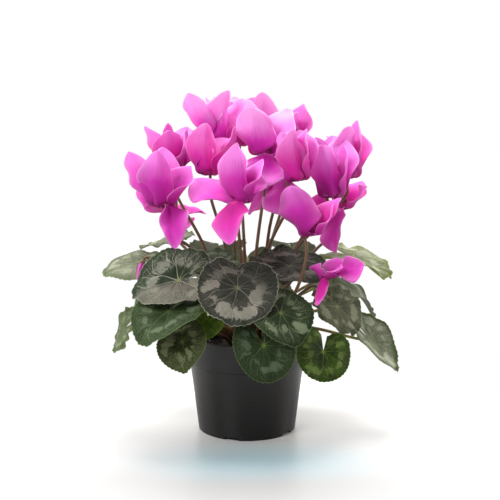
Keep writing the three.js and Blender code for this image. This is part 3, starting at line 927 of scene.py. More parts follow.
def make_piece(
    name: str, forms: Sequence[Form], materials: Sequence[bpy.types.Material]
) -> bpy.types.Object:
    """Makes one object of closed forms, with doubles merged and faces outward.

    Args:
        name: The object's name.
        forms: The forms it holds.
        materials: Its materials, in the order that the forms count them.

    Returns:
        The object, at the origin.
    """
    bm = bmesh.new()
    widths = {key: value.shape[1] for form in forms for key, value in form.values.items()}
    layers = {
        key: (bm.verts.layers.float if width == 1 else bm.verts.layers.float_vector).new(key)
        for key, width in widths.items()
    }
    for form in forms:
        verts = [bm.verts.new(point) for point in (form.points * MM).tolist()]
        for key, value in form.values.items():
            carried = value[:, 0] if widths[key] == 1 else value
            for vert, number in zip(verts, carried.tolist()):
                vert[layers[key]] = number
        faces = [bm.faces.new([verts[i] for i in face]) for face in form.faces]
        for face in faces:
            face.smooth = True
            face.material_index = form.paint_index
        bmesh.ops.remove_doubles(bm, verts=verts, dist=1e-6)
        left = [face for face in faces if face.is_valid]
        bmesh.ops.recalc_face_normals(bm, faces=left)
    mesh = bpy.data.meshes.new(name)
    bm.to_mesh(mesh)
    bm.free()
    for material in materials:
        mesh.materials.append(material)
    return add_object(name, mesh)


def keep_shown(piece: bpy.types.Object, modifier: bpy.types.Modifier) -> bpy.types.Object:
    """Makes what a modifier shows the piece's own mesh, and removes the modifier.

    Args:
        piece: The piece that has the modifier.
        modifier: Its only modifier.

    Returns:
        The same piece.
    """
    graph = bpy.context.evaluated_depsgraph_get()
    mesh = bpy.data.meshes.new_from_object(piece.evaluated_get(graph))
    mesh.name = piece.name
    piece.modifiers.remove(modifier)
    old = piece.data
    piece.data = mesh
    bpy.data.meshes.remove(old)
    return piece


def dress(piece: bpy.types.Object, slot: Slot, *nodes: str) -> bpy.types.Object:
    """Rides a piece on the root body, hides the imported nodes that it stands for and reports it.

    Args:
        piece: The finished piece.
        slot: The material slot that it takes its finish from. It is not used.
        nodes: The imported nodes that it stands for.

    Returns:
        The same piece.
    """
    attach(piece, ROOT_BODY)
    if nodes:
        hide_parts(*nodes)
    LOG.info("%s: %d faces", piece.name, len(piece.data.polygons))
    return piece


# Geometry Nodes


class GrowthTree(Bench):
    """A Geometry Nodes tree with named inputs, run once on a piece and then made plain mesh."""

    def __init__(self, name: str, sockets: dict[str, str]) -> None:
        """Makes the tree.

        Args:
            name: The tree's name.
            sockets: The type of each input, by name; Geometry is always there.
        """
        tree = bpy.data.node_groups.new(name, "GeometryNodeTree")
        super().__init__(tree)
        tree.interface.new_socket("Geometry", in_out="INPUT", socket_type="NodeSocketGeometry")
        self.identifiers = {
            key: tree.interface.new_socket(key, in_out="INPUT", socket_type=kind).identifier
            for key, kind in sockets.items()
        }
        tree.interface.new_socket("Geometry", in_out="OUTPUT", socket_type="NodeSocketGeometry")
        self.given = self.make("NodeGroupInput")

    def named(self, name: str) -> Signal:
        """Reads a named number of the geometry."""
        return self.make("GeometryNodeInputNamedAttribute", {"data_type": "FLOAT"}, {"Name": name})

    def end(self, geometry: Signal, material: Signal, selection: Signal | bool = True) -> None:
        """Realizes what the tree made and gives it its material.

        Args:
            geometry: What the tree made.
            material: The material.
            selection: Which faces take it.
        """
        real = self.make("GeometryNodeRealizeInstances", inputs={0: geometry})
        inputs = {"Geometry": real, "Selection": selection, "Material": material}
        painted = self.make("GeometryNodeSetMaterial", inputs=inputs)
        self.make("NodeGroupOutput", inputs={0: painted})

    def grow(self, piece: bpy.types.Object, inputs: dict[str, Any]) -> bpy.types.Object:
        """Runs the tree on a piece and keeps the result as its mesh.

        Args:
            piece: The object whose mesh goes in.
            inputs: The named inputs' values.

        Returns:
            The same object, with no modifier left.
        """
        modifier = piece.modifiers.new(self.tree.name, "NODES")
        modifier.node_group = self.tree
        for key, value in inputs.items():
            modifier[self.identifiers[key]] = value
        return keep_shown(piece, modifier)


class StalkTree(GrowthTree):
    """Draws a round stalk along each path, as thick as the path says, and joins it to the piece."""

    SIDES = 14

    def __init__(self) -> None:
        """Builds the tree."""
        sockets = {"Paths": "NodeSocketObject", "Sides": "NodeSocketInt", "Finish": "NodeSocketMaterial"}
        super().__init__("grow_stalks", sockets)
        guide = {"Object": self.given.pick("Paths")}
        paths = self.make("GeometryNodeObjectInfo", inputs=guide, output="Geometry")
        curve = self.make("GeometryNodeMeshToCurve", inputs={0: paths})
        circle = {"Resolution": self.given.pick("Sides"), "Radius": 1.0}
        ring = self.make("GeometryNodeCurvePrimitiveCircle", inputs=circle)
        sweep = {"Curve": curve, "Profile Curve": ring, "Scale": self.named("girth"), "Fill Caps": True}
        drawn = self.make("GeometryNodeCurveToMesh", inputs=sweep)
        kind = {"data_type": "FLOAT", "domain": "POINT"}
        mark = {"Geometry": drawn, "Name": "stalk", "Value": 1.0}
        drawn = self.make("GeometryNodeStoreNamedAttribute", kind, mark)
        drawn = self.make("GeometryNodeSetShadeSmooth", inputs={0: drawn})
        joined = self.make("GeometryNodeJoinGeometry", inputs={0: drawn})
        self.tree.links.new(self.given.pick("Geometry").socket, joined.socket.node.inputs[0])
        self.end(joined, self.given.pick("Finish"), self.named("stalk"))

    def add(
        self,
        piece: bpy.types.Object,
        paths: Sequence[tuple[Array, Array]],
        finish: bpy.types.Material,
    ) -> None:
        """Grows stalks on a piece.

        Args:
            piece: The blade or calyx that they carry.
            paths: The points and radii of each stalk, in millimetres.
            finish: The stalks' material.
        """
        mesh = bpy.data.meshes.new("stalk_paths")
        lines, radii = zip(*paths)
        edges = []
        start = 0
        for line in lines:
            edges += [(start + i, start + i + 1) for i in range(len(line) - 1)]
            start += len(line)
        mesh.from_pydata((np.concatenate(lines) * MM).tolist(), edges, [])
        girth = np.concatenate(radii) * MM
        along = np.concatenate([share_along(line) for line in lines])
        for name, numbers in (("girth", girth), ("along", along)):
            layer = mesh.attributes.new(name, "FLOAT", "POINT")
            layer.data.foreach_set("value", numbers.astype(np.float32))
        guide = add_object("stalk_paths", mesh)
        self.grow(piece, {"Paths": guide, "Sides": self.SIDES, "Finish": finish})
        bpy.data.objects.remove(guide)
        bpy.data.meshes.remove(mesh)


class CrumbTree(GrowthTree):
    """Strews crumbs of one kind over the upward faces of a surface."""

    LEVEL_ENOUGH = 0.6
    FULL_TURN = 6.28
    AXIS_SEEDS = (3, 5, 8)

    def __init__(self) -> None:
        """Builds the tree."""
        sockets = dict.fromkeys(("Density", "Smallest", "Largest"), "NodeSocketFloat")
        sockets |= {"Seed": "NodeSocketInt", "Finish": "NodeSocketMaterial"}
        super().__init__("strew_crumbs", sockets)
        ground, density, seed = (self.given.pick(key) for key in ("Geometry", "Density", "Seed"))
        _, _, upward = self.parts(self.make("GeometryNodeInputNormal"))
        level = upward.math("GREATER_THAN", self.LEVEL_ENOUGH)
        inputs = {"Mesh": ground, "Selection": level, "Density": density, "Seed": seed}
        spread = self.make("GeometryNodeDistributePointsOnFaces", inputs=inputs)
        crumb = self.make("GeometryNodeMeshIcoSphere", inputs={"Radius": 1.0, "Subdivisions": 1})
        any_way = {"Max": (self.FULL_TURN,) * 3, "Seed": seed}
        turn = self.make("FunctionNodeRandomValue", {"data_type": "FLOAT_VECTOR"}, any_way)
        draws = [self._drawn_size(axis_seed) for axis_seed in self.AXIS_SEEDS]
        inputs = {"Points": spread, "Instance": crumb, "Rotation": turn, "Scale": self.vector(*draws)}
        placed = self.make("GeometryNodeInstanceOnPoints", inputs=inputs)
        self.end(placed, self.given.pick("Finish"))

    def _drawn_size(self, seed: int) -> Signal:
        """A size between the smallest and the largest, drawn for each crumb."""
        bounds = {2: self.given.pick("Smallest"), 3: self.given.pick("Largest"), "Seed": seed}
        return self.make("FunctionNodeRandomValue", {"data_type": "FLOAT"}, bounds, output=1)


# The plant and its pot


@dataclass(frozen=True)
class Crown:
    """The tuber's dome, from which every stalk rises."""

    level: float = 80.0
    radius: float = 26.0
    rise: float = 13.0
    depth: float = 16.0
    socket_depth: float = 6.0

    def height(self, radius: float) -> float:
        """Height of the dome at a distance from its axis."""
        return self.level + self.rise * math.sqrt(1 - (radius / self.radius) ** 2)

    def start(self, root: Pair, lean: float) -> tuple[Array, Array]:
        """Where a stalk starts, sunk in the dome, and the direction it leaves in.

        Args:
            root: The distance from the axis and the compass bearing.
            lean: How far the stalk leans out for each unit it rises.

        Returns:
            The point and the unit direction.
        """
        outward = compass(root[1])
        direction = unit(outward * lean + UP)
        surface = outward * root[0] + UP * self.height(root[0])
        return surface - direction * self.socket_depth, direction


CROWN = Crown()


@dataclass(frozen=True)
class LeafPlan:
    """Where one leaf stands and how it is shaped.

    The stalk meets the blade at one place. The tip points to one compass bearing, and the upper face
    leans towards another by the slope. The rest folds, droops, waves and notches the blade.
    """

    at: Point
    points: float
    faces: float
    slope: float
    length: float
    root: Pair
    tone: LeafTone = LeafTone.DARK
    breadth: float = 1.0
    fold: float = 0.2
    droop: float = 0.2
    wave: float = 0.05
    arch: float = 0.45
    frill: float = 0.02
    curl: float = 0.0
    tooth: float = 0.03
    tip: float = 0.04
    sinus: float = 11.0
    lap: float = 0.0


LEAVES = [
    LeafPlan(
        (-106, 10, 163), 182, 262, 20, 40, (13.2, 176), LeafTone.PALE, 0.8, fold=0.0, frill=0.025,
        droop=0.24, wave=0.02, tip=0.0,
    ),
    LeafPlan((-81, 57, 179), 160, 205, 10, 33, (13.2, 150), LeafTone.PALE, frill=0.05),
    LeafPlan((-30, 66, 172), 104, 98, 16, 34, (13.2, 118), LeafTone.MOSSY, frill=0.04),
    LeafPlan(
        (-63, -47, 154), 187, 262, 36, 43, (13.2, 219), LeafTone.VEILED, fold=0.38, frill=0.03,
        tooth=0.028, tip=0.12, sinus=4.0,
    ),
    LeafPlan((-70, -72, 130), 222, 238, 30, 40, (18.6, 222), LeafTone.DARK, arch=0.6, tooth=0.024, sinus=7.0),
    LeafPlan((-58, -80, 103), 257, 246, 54, 27, (22.5, 229), LeafTone.OLIVE, tip=0.1, sinus=-4.0, lap=0.06),
    LeafPlan((-27, -30, 169), 200, 262, 16, 28, (13.2, 237), LeafTone.DULL, frill=0.03),
    LeafPlan(
        (-8, -76, 152), 268, 271, 46, 40, (13.2, 264), LeafTone.BRONZE, 1.04, droop=0.12, frill=0.03,
        sinus=-5.0, lap=0.07,
    ),
    LeafPlan((40, -38, 166), 8, 280, 28, 52, (13.2, 334), LeafTone.SMOKY, 0.56, frill=0.05, sinus=3.0),
    LeafPlan((30, -84, 131), 298, 284, 42, 33, (18.6, 290), LeafTone.GLOOMY, tip=0.08, sinus=6.0),
    LeafPlan((15, -91, 103), 284, 277, 64, 35, (22.5, 281), LeafTone.DULL, 0.9, tip=0.0),
    LeafPlan((69, -77, 94), 290, 299, 66, 29, (22.5, 314), LeafTone.FRESH, 1.1, tooth=0.024, tip=0.0),
    LeafPlan((84, -41, 128), 318, 312, 44, 32, (18.6, 345), LeafTone.MOSSY, frill=0.06, tooth=0.026),
    LeafPlan(
        (118, -20, 92), 328, 315, 56, 42, (22.5, 354), LeafTone.FROSTED, 0.54, fold=0.7, curl=-0.3,
        tooth=0.024,
    ),
    LeafPlan((105, 20, 133), 0, 350, 38, 37, (18.6, 8), LeafTone.FROSTED, 0.76, frill=0.06, tooth=0.026),
    LeafPlan((106, 36, 165), 350, 326, 16, 45, (13.2, 37), LeafTone.LIT, frill=0.05, tooth=0.028),
    LeafPlan((46, 66, 172), 62, 62, 20, 29, (13.2, 60), LeafTone.MOSSY),
    LeafPlan((0, 80, 158), 96, 95, 34, 31, (13.2, 88), LeafTone.DARK),
    LeafPlan((80, 74, 132), 40, 42, 40, 38, (18.6, 42), LeafTone.DARK),
    LeafPlan((24, 90, 112), 76, 76, 54, 36, (18.6, 78), LeafTone.FRESH),
    LeafPlan((-56, 82, 116), 126, 122, 50, 38, (18.6, 121), LeafTone.DARK),
]
HANGING_PAIR = [
    LeafPlan((-119, -10, 100), 185, 205, 62, 27, (18.6, 180), LeafTone.HANGING, frill=0.05),
    LeafPlan((-112, 30, 116), 168, 190, 58, 24, (18.6, 180), LeafTone.HANGING),
]
YOUNG_PAIR = [
    LeafPlan((-51, -58, 124), 236, 250, 44, 18, (18.6, 248), LeafTone.YOUNG, sinus=5.0),
    LeafPlan((-36, -61, 118), 262, 258, 46, 18, (18.6, 248), LeafTone.YOUNG, sinus=5.0),
]


@dataclass(frozen=True)
class BladeSizes:
    """Sizes that all leaf blades share, most of them as shares of the blade's length."""

    columns: int = 177
    shares: tuple[float, ...] = (
        0, 0.05, 0.1, 0.16, 0.22, 0.28, 0.34, 0.4, 0.46, 0.52, 0.58, 0.64, 0.7, 0.76, 0.82, 0.87,
        0.915, 0.95, 0.978, 1.0,
    )
    teeth: int = 44
    reach: float = 0.87
    reach_ahead: float = 0.07
    tip_width: float = 0.24
    shoulder: float = 0.24
    shoulder_from: float = 140.0
    corner: float = 0.12
    corner_width: float = 12.0
    crease: float = 0.02
    thickness: float = 0.6
    quilting: float = 0.022
    rumple: float = 0.022
    rumple_waves: int = 5
    stalk_base: float = 1.7
    stalk_tip: float = 1.35
    stalk_flare: float = 0.35
    stalk_lean: float = 0.55
    stalk_arrival: float = 0.55
    stalk_bend: float = 0.32
    stalk_steps: int = 30


@dataclass
class Leaf:
    """One marbled leaf with its stalk."""

    plan: LeafPlan
    seed: float
    phase: float = 0.0
    sizes: BladeSizes = BladeSizes()

    def axes(self) -> tuple[Array, Array, Array]:
        """The blade's own axes.

        Returns:
            The tip's direction, the side's and the upper face's.
        """
        slope = math.radians(self.plan.slope)
        normal = compass(self.plan.faces) * math.sin(slope) + UP * math.cos(slope)
        heading = compass(self.plan.points)
        tip = unit(heading - normal * heading.dot(normal))
        return tip, np.cross(normal, tip), normal

    def outline(self, angle: Array, share: Array) -> Array:
        """How far the blade reaches, with its fine teeth near the edge.

        Args:
            angle: Bearings in radians, 0 towards the tip.
            share: Shares of the way from the stalk to the edge.

        Returns:
            The reach, in shares of the blade's length.
        """
        plan, sizes = self.plan, self.sizes
        lobe = sizes.reach + sizes.reach_ahead * np.maximum(0.0, np.cos(angle))
        lobe += plan.tip * np.exp(-((angle / sizes.tip_width) ** 2))
        turned = np.degrees(np.abs(angle))
        ends = 180 - plan.sinus
        shoulder = sizes.shoulder * smoothstep(sizes.shoulder_from, ends, turned)
        lobe *= 1 - shoulder - sizes.corner * smoothstep(ends - sizes.corner_width, ends, turned)
        tooth = np.abs(np.sin(angle * sizes.teeth / 2)) - 0.6
        return lobe + plan.tooth * tooth * smoothstep(0.86, 1.0, share)

    def relief(self, x: Array, y: Array, share: Array, angle: Array) -> Array:
        """How high the blade stands over its own plane, with its skin quilted between the veins.

        Args:
            x: Places towards the tip, in shares of the blade's length.
            y: Places towards the side.
            share: Shares of the way from the stalk to the edge.
            angle: Bearings in radians, 0 towards the tip.

        Returns:
            The height, in shares of the blade's length.
        """
        plan, sizes, seed = self.plan, self.sizes, self.seed
        fold = plan.fold * (np.sqrt(y * y + sizes.crease) - math.sqrt(sizes.crease))
        droop = plan.droop * (x * x * np.where(x > 0, 1.0, 0.35) + 0.55 * y * y)
        wave = plan.wave * share ** 2 * np.sin(3 * angle + math.radians(self.phase))
        frill = plan.frill * share ** 5 * np.sin(11 * angle + 7 * seed + 2 * np.sin(3 * angle))
        curl = plan.curl * smoothstep(0.25, 1.1, x) * np.maximum(x, 0)
        pillow = np.abs(np.sin(VEINS / 2 * wander(angle, share, seed, np.sin))) ** 0.7 - 0.6
        quilt = pillow * smoothstep(0.08, 0.5, share) * (1 - 0.5 * smoothstep(0.75, 1, share))
        rumple = np.zeros_like(x)
        for k in range(1, sizes.rumple_waves + 1):
            heading = GOLDEN * k + 6 * seed
            rate = 3.0 + 1.9 * k
            rumple += np.sin(rate * (x * math.cos(heading) + y * math.sin(heading)) + 5 * heading) / k
        fine = sizes.quilting * quilt + sizes.rumple * rumple * smoothstep(0.1, 0.6, share)
        lap = plan.lap * smoothstep(2.3, 3.1, angle) * share
        return fold - droop + wave + frill - curl + fine + lap

    def blade(self) -> Form:
        """Builds the blade.

        Returns:
            The closed blade.
        """
        sizes, plan = self.sizes, self.plan
        tip, side, normal = self.axes()
        ends = 180 - plan.sinus
        bearings = np.radians(np.linspace(-ends, ends, sizes.columns))
        share, angle = np.meshgrid(np.array(sizes.shares, float), bearings, indexing="ij")
        reach = share * self.outline(angle, share)
        x = reach * np.cos(angle)
        flat_y = reach * np.sin(angle)
        y = flat_y * plan.breadth
        height = self.relief(x, y, share, angle)
        middle = np.array(plan.at, float) + plan.length * (
            x[..., None] * tip + y[..., None] * side + height[..., None] * normal
        )
        thin = sizes.thickness / 2 * (1 - 0.5 * smoothstep(0.8, 1.0, share))
        seed = np.full(x.shape, self.seed)
        values = {"blade": triples(x, flat_y, 0.0), "share": share, "seed": seed}
        return sheet_form(middle, thin, values, True)

    def stalk(self) -> tuple[Array, Array]:
        """The stalk's path from the tuber's crown to the blade.

        Returns:
            Its points and its radii.
        """
        sizes, plan = self.sizes, self.plan
        tip, _, normal = self.axes()
        end = np.array(plan.at, float) - normal * 1.0
        arriving = unit(tip * sizes.stalk_arrival + normal)
        start, direction = CROWN.start(plan.root, sizes.stalk_lean)
        span = float(np.linalg.norm(end - start))
        bent = end - arriving * sizes.stalk_bend * span
        handles = [start, start + direction * plan.arch * span, bent, end]
        t = np.linspace(0, 1, sizes.stalk_steps + 1)[:, None]
        weights = [(1 - t) ** 3, 3 * t * (1 - t) ** 2, 3 * t * t * (1 - t), t ** 3]
        points = sum(weight * handle for weight, handle in zip(weights, handles))
        radii = sizes.stalk_base + (sizes.stalk_tip - sizes.stalk_base) * t[:, 0]
        radii = radii * (1 + sizes.stalk_flare * smoothstep(0.94, 1.0, t[:, 0]))
        return points, radii


@dataclass(frozen=True)
class BloomPlan:
    """Where one flower hangs and how its petals stand.

    The petals turn back at the mouth, which nods towards a compass bearing with a tilt. A spread is in
    degrees from the flower's own axis. A list has one number for each petal, anticlockwise from the
    nodding side. The stem passes through via, where it is given.
    """

    mouth: Point
    nods: float
    tilt: float
    root: Pair
    spreads: tuple[float, ...] = ()
    lengths: tuple[float, ...] = ()
    via: Point | None = None
    twists: tuple[float, ...] = (23, 23, 23, 23, 23)
    breadth: float = 15.0
    size: float = 1.0
    turns: tuple[float, ...] = (0, 0, 0, 0, 0)
    widths: tuple[float, ...] = (1, 1, 1, 1, 1)
    folds: tuple[float, ...] = (0, 0, 0, 0, 0)


BLOOMS = [
    BloomPlan(
        (-78, -52, 223), 252, 12, (8.6, 214), (14, 150, 26, 10, 26), (55, 46, 46, 68, 58),
        (-42, -6, 168), (26, 40, 26, 26, 26), 16, turns=(8, -10, -40, -16, 26),
        widths=(0.86, 0.66, 1, 1.05, 1), folds=(0.45, 0.6, 0, 0, 0.1),
    ),
    BloomPlan(
        (-74, 14, 253), 120, 8, (8.6, 160), (14, 14, 10, 12, 12), (50, 50, 48, 48, 48), (-44, 5, 184),
        widths=(1, 0.82, 1, 1, 1),
    ),
    BloomPlan(
        (-77, 34, 209), 246, 20, (8.6, 132), (80, 140, 65, 40, 62), (34, 30, 36, 38, 38), breadth=11
    ),
    BloomPlan(
        (-36, -20, 251), 262, 12, (8.6, 187), (6, 28, 16, 14, 14), (50, 54, 44, 42, 46), (-21, 0, 180),
        widths=(0.85, 1, 1, 1, 0.8), folds=(0.3, 0, 0, 0, 0.2),
    ),
    BloomPlan(
        (-29, 14, 281), 215, 14, (3.7, 172), (36, -6, 12, 12, 12), (54, 54, 52, 46, 50), breadth=16,
        widths=(0.78, 0.85, 1, 1, 1),
    ),
    BloomPlan(
        (-6, -75, 228), 285, 8, (8.6, 262), (10, 8, 14, 56, 150), (58, 44, 40, 50, 44),
        twists=(24, 24, 24, -40, 10), breadth=16, turns=(0, 0, 0, 0, 30),
        widths=(0.82, 0.8, 1, 1, 0.95), folds=(0.45, 0, 0, 0, 0.15),
    ),
    BloomPlan(
        (15, -33, 269), 240, 10, (8.6, 290), (15, 172, 6, 3, 12), (47, 32, 54, 68, 58),
        (9, -22, 178), breadth=16.5, widths=(0.92, 1, 1, 1.05, 0.82),
    ),
    BloomPlan((-9, 68, 277), 100, 10, (3.7, 90), (20, 20, 14, 14, 16), (56, 56, 54, 54, 55), breadth=17),
    BloomPlan(
        (46, -59, 247), 345, 8, (8.6, 318), (0, -3, -3, -2, 0), (50, 50, 50, 50, 52), (20, -8, 176),
        breadth=13.5, folds=(0, 0, 0, 0.3, 0.3),
    ),
    BloomPlan((43, 24, 271), 10, 10, (8.6, 14), (14, 14, 14, 10, 10), (50, 50, 50, 46, 44), breadth=16.5),
    BloomPlan(
        (80, -30, 230), 300, 8, (8.6, 346), (10, 8, 6, 8, 6), (54, 52, 66, 66, 58), (50, -14, 182),
        breadth=16, turns=(-38, -38, -38, -38, -38), widths=(0.9, 0.8, 0.85, 1, 0.85),
        folds=(0.35, 0, 0, 0, 0.3),
    ),
    BloomPlan(
        (98, 12, 246), 272, 8, (13.2, 358), (8, 0, 10, 12, 10), (54, 62, 56, 50, 46),
        (62, 10, 200), widths=(1, 0.7, 1, 1, 1), folds=(0, 0.3, 0.2, 0, 0),
    ),
    BloomPlan(
        (98, 38, 213), 318, 12, (13.2, 17), (50, 30, 30, 60, 150), (34, 36, 36, 34, 52),
        (66, 26, 170), breadth=12, turns=(0, 0, 0, 0, -5), widths=(1, 1, 1, 1, 1.15),
        folds=(0, 0, 0, 0, 0.3),
    ),
    BloomPlan(
        (57, -73, 199), 300, 12, (18.6, 303), (46, 30, 12, 10, 2), (36, 44, 40, 40, 50),
        (43, -58, 142), breadth=14.5, turns=(24, 4, 0, -4, 0), widths=(0.75, 0.68, 0.9, 0.74, 1.05),
        folds=(0, 0.2, 0, 0, 0.35),
    ),
    BloomPlan(
        (35, -4, 243), 262, 14, (3.7, 350), (152, 14, 10, 12, 146), (46, 44, 42, 44, 44),
        (23, 5, 180), breadth=16.5, turns=(18, 0, 0, 0, 0),
    ),
    BloomPlan(
        (72, -69, 159), 300, 22, (18.6, 326), (64, 84, 46, 20, 150), (20, 33, 30, 18, 33),
        (60, -40, 147), (20, 58, 30, 20, 20), 9.5, 0.62, (10, -22, -44, 0, 14), (0.9, 1.1, 0.85, 0.9, 0.8),
    ),
]
BUD_PLAN = BloomPlan((-101, -18, 162), 205, 20, (18.6, 203), size=0.62)


@dataclass(frozen=True)
class BloomSizes:
    """Sizes that all flowers share."""

    petals: int = 5
    usual_breadth: float = 15.0
    mouth_radius: float = 5.6
    tube_length: float = 9.0
    crown_radius: float = 3.4
    wall: float = 1.4
    petal_root: float = 3.7
    petal_thickness: float = 0.6
    thick_root: float = 1.8
    tucked: float = 0.82
    opened: float = 0.2
    rows: tuple[float, ...] = (
        0, 0.03, 0.06, 0.09, 0.12, 0.15, 0.18, 0.21, 0.24, 0.28, 0.32, 0.37, 0.42, 0.47, 0.52, 0.57,
        0.62, 0.67, 0.72, 0.77, 0.82, 0.86, 0.9, 0.93, 0.955, 0.975, 0.988, 0.996, 0.9995,
    )
    columns: int = 17
    midrib_steps: int = 240
    root_inset: float = 0.6
    root_slope: float = -12.0
    lopsided: float = 0.14
    waver: float = 0.06
    ribbing: float = 0.006
    leaning: float = 0.26
    ring_limit: float = 4.5
    bend_limit: float = 9.0
    cupping: float = 0.17
    ruffle: float = 0.14
    tip_curl: float = 0.35
    sideways: float = 0.28
    fullness: float = 1.2
    hook_offset: float = 9.8
    hook_rise: float = 15.0
    hook_entry: float = 16.0
    stem_base: float = 1.8
    stem_tip: float = 1.35
    stem_lean: float = 0.22
    steps_between: int = 9
    segments: int = 40
    style_segments: int = 12
    calyx_segments: int = 20
    petal_seed_step: float = 0.137
    tube_seed_step: float = 0.21


@dataclass
class Bloom:
    """One nodding flower: five swept petals on a short tube, a style, a calyx and its hooked stem."""

    plan: BloomPlan
    number: int
    sizes: BloomSizes = BloomSizes()

    def axes(self) -> tuple[Array, Array, Array]:
        """The flower's own axes.

        Returns:
            Its front, its left and its upward direction.
        """
        tilt = math.radians(self.plan.tilt)
        upward = UP * math.cos(tilt) - compass(self.plan.nods) * math.sin(tilt)
        heading = compass(self.plan.nods)
        front = unit(heading - upward * heading.dot(upward))
        return front, np.cross(upward, front), upward

    def set_on(self, form: Form) -> Form:
        """Moves a form turned about the upright axis onto the flower's axis.

        Args:
            form: The form, at full size.

        Returns:
            The same form, at the flower's own scale.
        """
        scaled = form.points * self.plan.size
        form.points = np.array(self.plan.mouth, float) + scaled @ np.stack(self.axes())
        return form

    def half_width(self, index: int, share: Array, column: Array, phase: float) -> Array:
        """Half a petal's width, some petals more pointed than others and uneven from side to side.

        Args:
            index: Which petal.
            share: Shares of its length.
            column: Places across it, from -1 to 1.
            phase: The petal's own phase, which makes it differ from its neighbours.

        Returns:
            The half width at each place.
        """
        sizes, breadth = self.sizes, self.plan.breadth
        along = np.maximum(0.0, (share - 0.02) / 0.98)
        belly = 1.1 + 0.22 * abs(math.sin(1.3 * phase))
        taper = 0.42 + 0.12 * math.sin(5.1 * phase)
        body = np.maximum(0.0, np.sin(math.pi * along ** belly)) ** (1.1 - taper * along)
        neck = sizes.petal_root * math.sqrt(breadth / sizes.usual_breadth) * (1 - share) ** 2
        half = (neck + breadth * sizes.fullness * body) * self.plan.widths[index]
        half = half * (1 + sizes.lopsided * math.sin(3.1 * phase) * np.sign(column))
        return half * (1 + sizes.waver * np.abs(column) * np.sin(13.0 * share + phase))

    def relief(self, index: int, share: Array, column: Array, phase: float) -> Array:
        """How far a petal's skin rises from its midrib: its cup, ruffle, fine ribs and lean.

        Args:
            index: Which petal.
            share: Shares of its length.
            column: Places across it, from -1 to 1.
            phase: The petal's own phase.

        Returns:
            The rise, in shares of the half width.
        """
        sizes = self.sizes
        crease = sizes.cupping * (0.5 + 1.2 * abs(math.sin(2.9 * phase))) + self.plan.folds[index]
        cup = crease * (np.sqrt(column ** 2 + 0.02) - 0.12)
        ruffle = np.abs(column) ** 2.2 * np.sin(9.0 * share + phase + 1.3 * np.sign(column))
        ruffle = ruffle + 0.4 * column ** 2 * np.sin(17.0 * share + 2 * phase + 4 * column)
        ribs = sizes.ribbing * np.cos(column * 9 * math.pi) * smoothstep(0.1, 0.4, share)
        lean = sizes.leaning * math.sin(2.3 * phase) ** 2 * column * smoothstep(0.3, 0.9, share)
        return cup + sizes.ruffle * ruffle * smoothstep(0.15, 0.5, share) + ribs + lean

    def midrib(self, index: int, shares: Array) -> tuple[Array, Array, Array, Array]:
        """The petal's midrib at the given shares.

        Args:
            index: Which petal.
            shares: Shares of its length.

        Returns:
            Radius, height, slope and twist at each share.
        """
        sizes, plan = self.sizes, self.plan
        steps = sizes.midrib_steps
        fine = np.arange(steps + 1) / steps
        first, last = math.radians(sizes.root_slope), math.radians(90 - plan.spreads[index])
        slope = first + (last - first) * smoothstep(0, 0.23, fine)
        length = plan.lengths[index] / steps
        out, up = (np.concatenate([[0.0], np.cumsum(go(slope[:-1]) * length)]) for go in (np.cos, np.sin))
        radius = (sizes.mouth_radius - sizes.root_inset) * plan.size + out
        height = 0.4 + up
        twist = math.radians(plan.twists[index]) * smoothstep(0.08, 0.6, fine)
        return tuple(np.interp(shares, fine, line) for line in (radius, height, slope, twist))

    def petal(self, index: int) -> Form:
        """Builds one petal, wrapped round the flower's axis with one side tucked behind the next.

        Args:
            index: Which petal, anticlockwise from the nodding side.

        Returns:
            The closed petal.
        """
        sizes, plan = self.sizes, self.plan
        front, left, upward = self.axes()
        azimuth = math.radians(360 / sizes.petals * index + plan.turns[index])
        outward = front * math.cos(azimuth) + left * math.sin(azimuth)
        across = np.cross(upward, outward)
        share = np.array(sizes.rows)[:, None]
        column = np.linspace(-1, 1, sizes.columns)[None, :]
        radius, height, slope, twist = (line[:, None, None] for line in self.midrib(index, share[:, 0]))
        inward = -outward * np.sin(slope) + upward * np.cos(slope)
        width = across * np.cos(twist) + inward * np.sin(twist)
        face = inward * np.cos(twist) - across * np.sin(twist)
        order = sizes.petals * self.number + index
        phase = GOLDEN * order
        half = self.half_width(index, share, column, phase)
        curl = sizes.tip_curl * math.sin(1.7 * phase) * smoothstep(0.55, 1.0, share) ** 2
        rise = self.relief(index, share, column, phase) * half + curl * plan.breadth
        sweep = sizes.sideways * math.sin(4.7 * phase) * plan.breadth * share ** 2
        reach = radius[..., 0]
        ring = (column * half) ** 2 / (2 * np.maximum(reach, sizes.ring_limit))
        ring = ring * (1 - smoothstep(0.2, 0.6, share))
        bend = np.where(column > 0, sizes.tucked, sizes.opened) * np.maximum(0.0, np.sin(slope[..., 0]))
        bend = np.maximum(1e-5, bend * smoothstep(0.15, 0.4, share) / np.maximum(reach, sizes.bend_limit))
        turned = bend * column * half
        middle = (
            np.array(plan.mouth, float)
            + outward * (radius - ring[..., None])
            + upward * height
            + width * (np.sin(turned) / bend + sweep)[..., None]
            + face * (rise + (1 - np.cos(turned)) / bend)[..., None]
        )
        thin = sizes.petal_thickness / 2 * (1 - 0.55 * np.abs(column) ** 4)
        thin = thin * (1 + sizes.thick_root * (1 - smoothstep(0.0, 0.28, share)))
        spot = triples(share, column, order * sizes.petal_seed_step % 1.0)
        return sheet_form(middle, thin, {"petal": spot}, False)

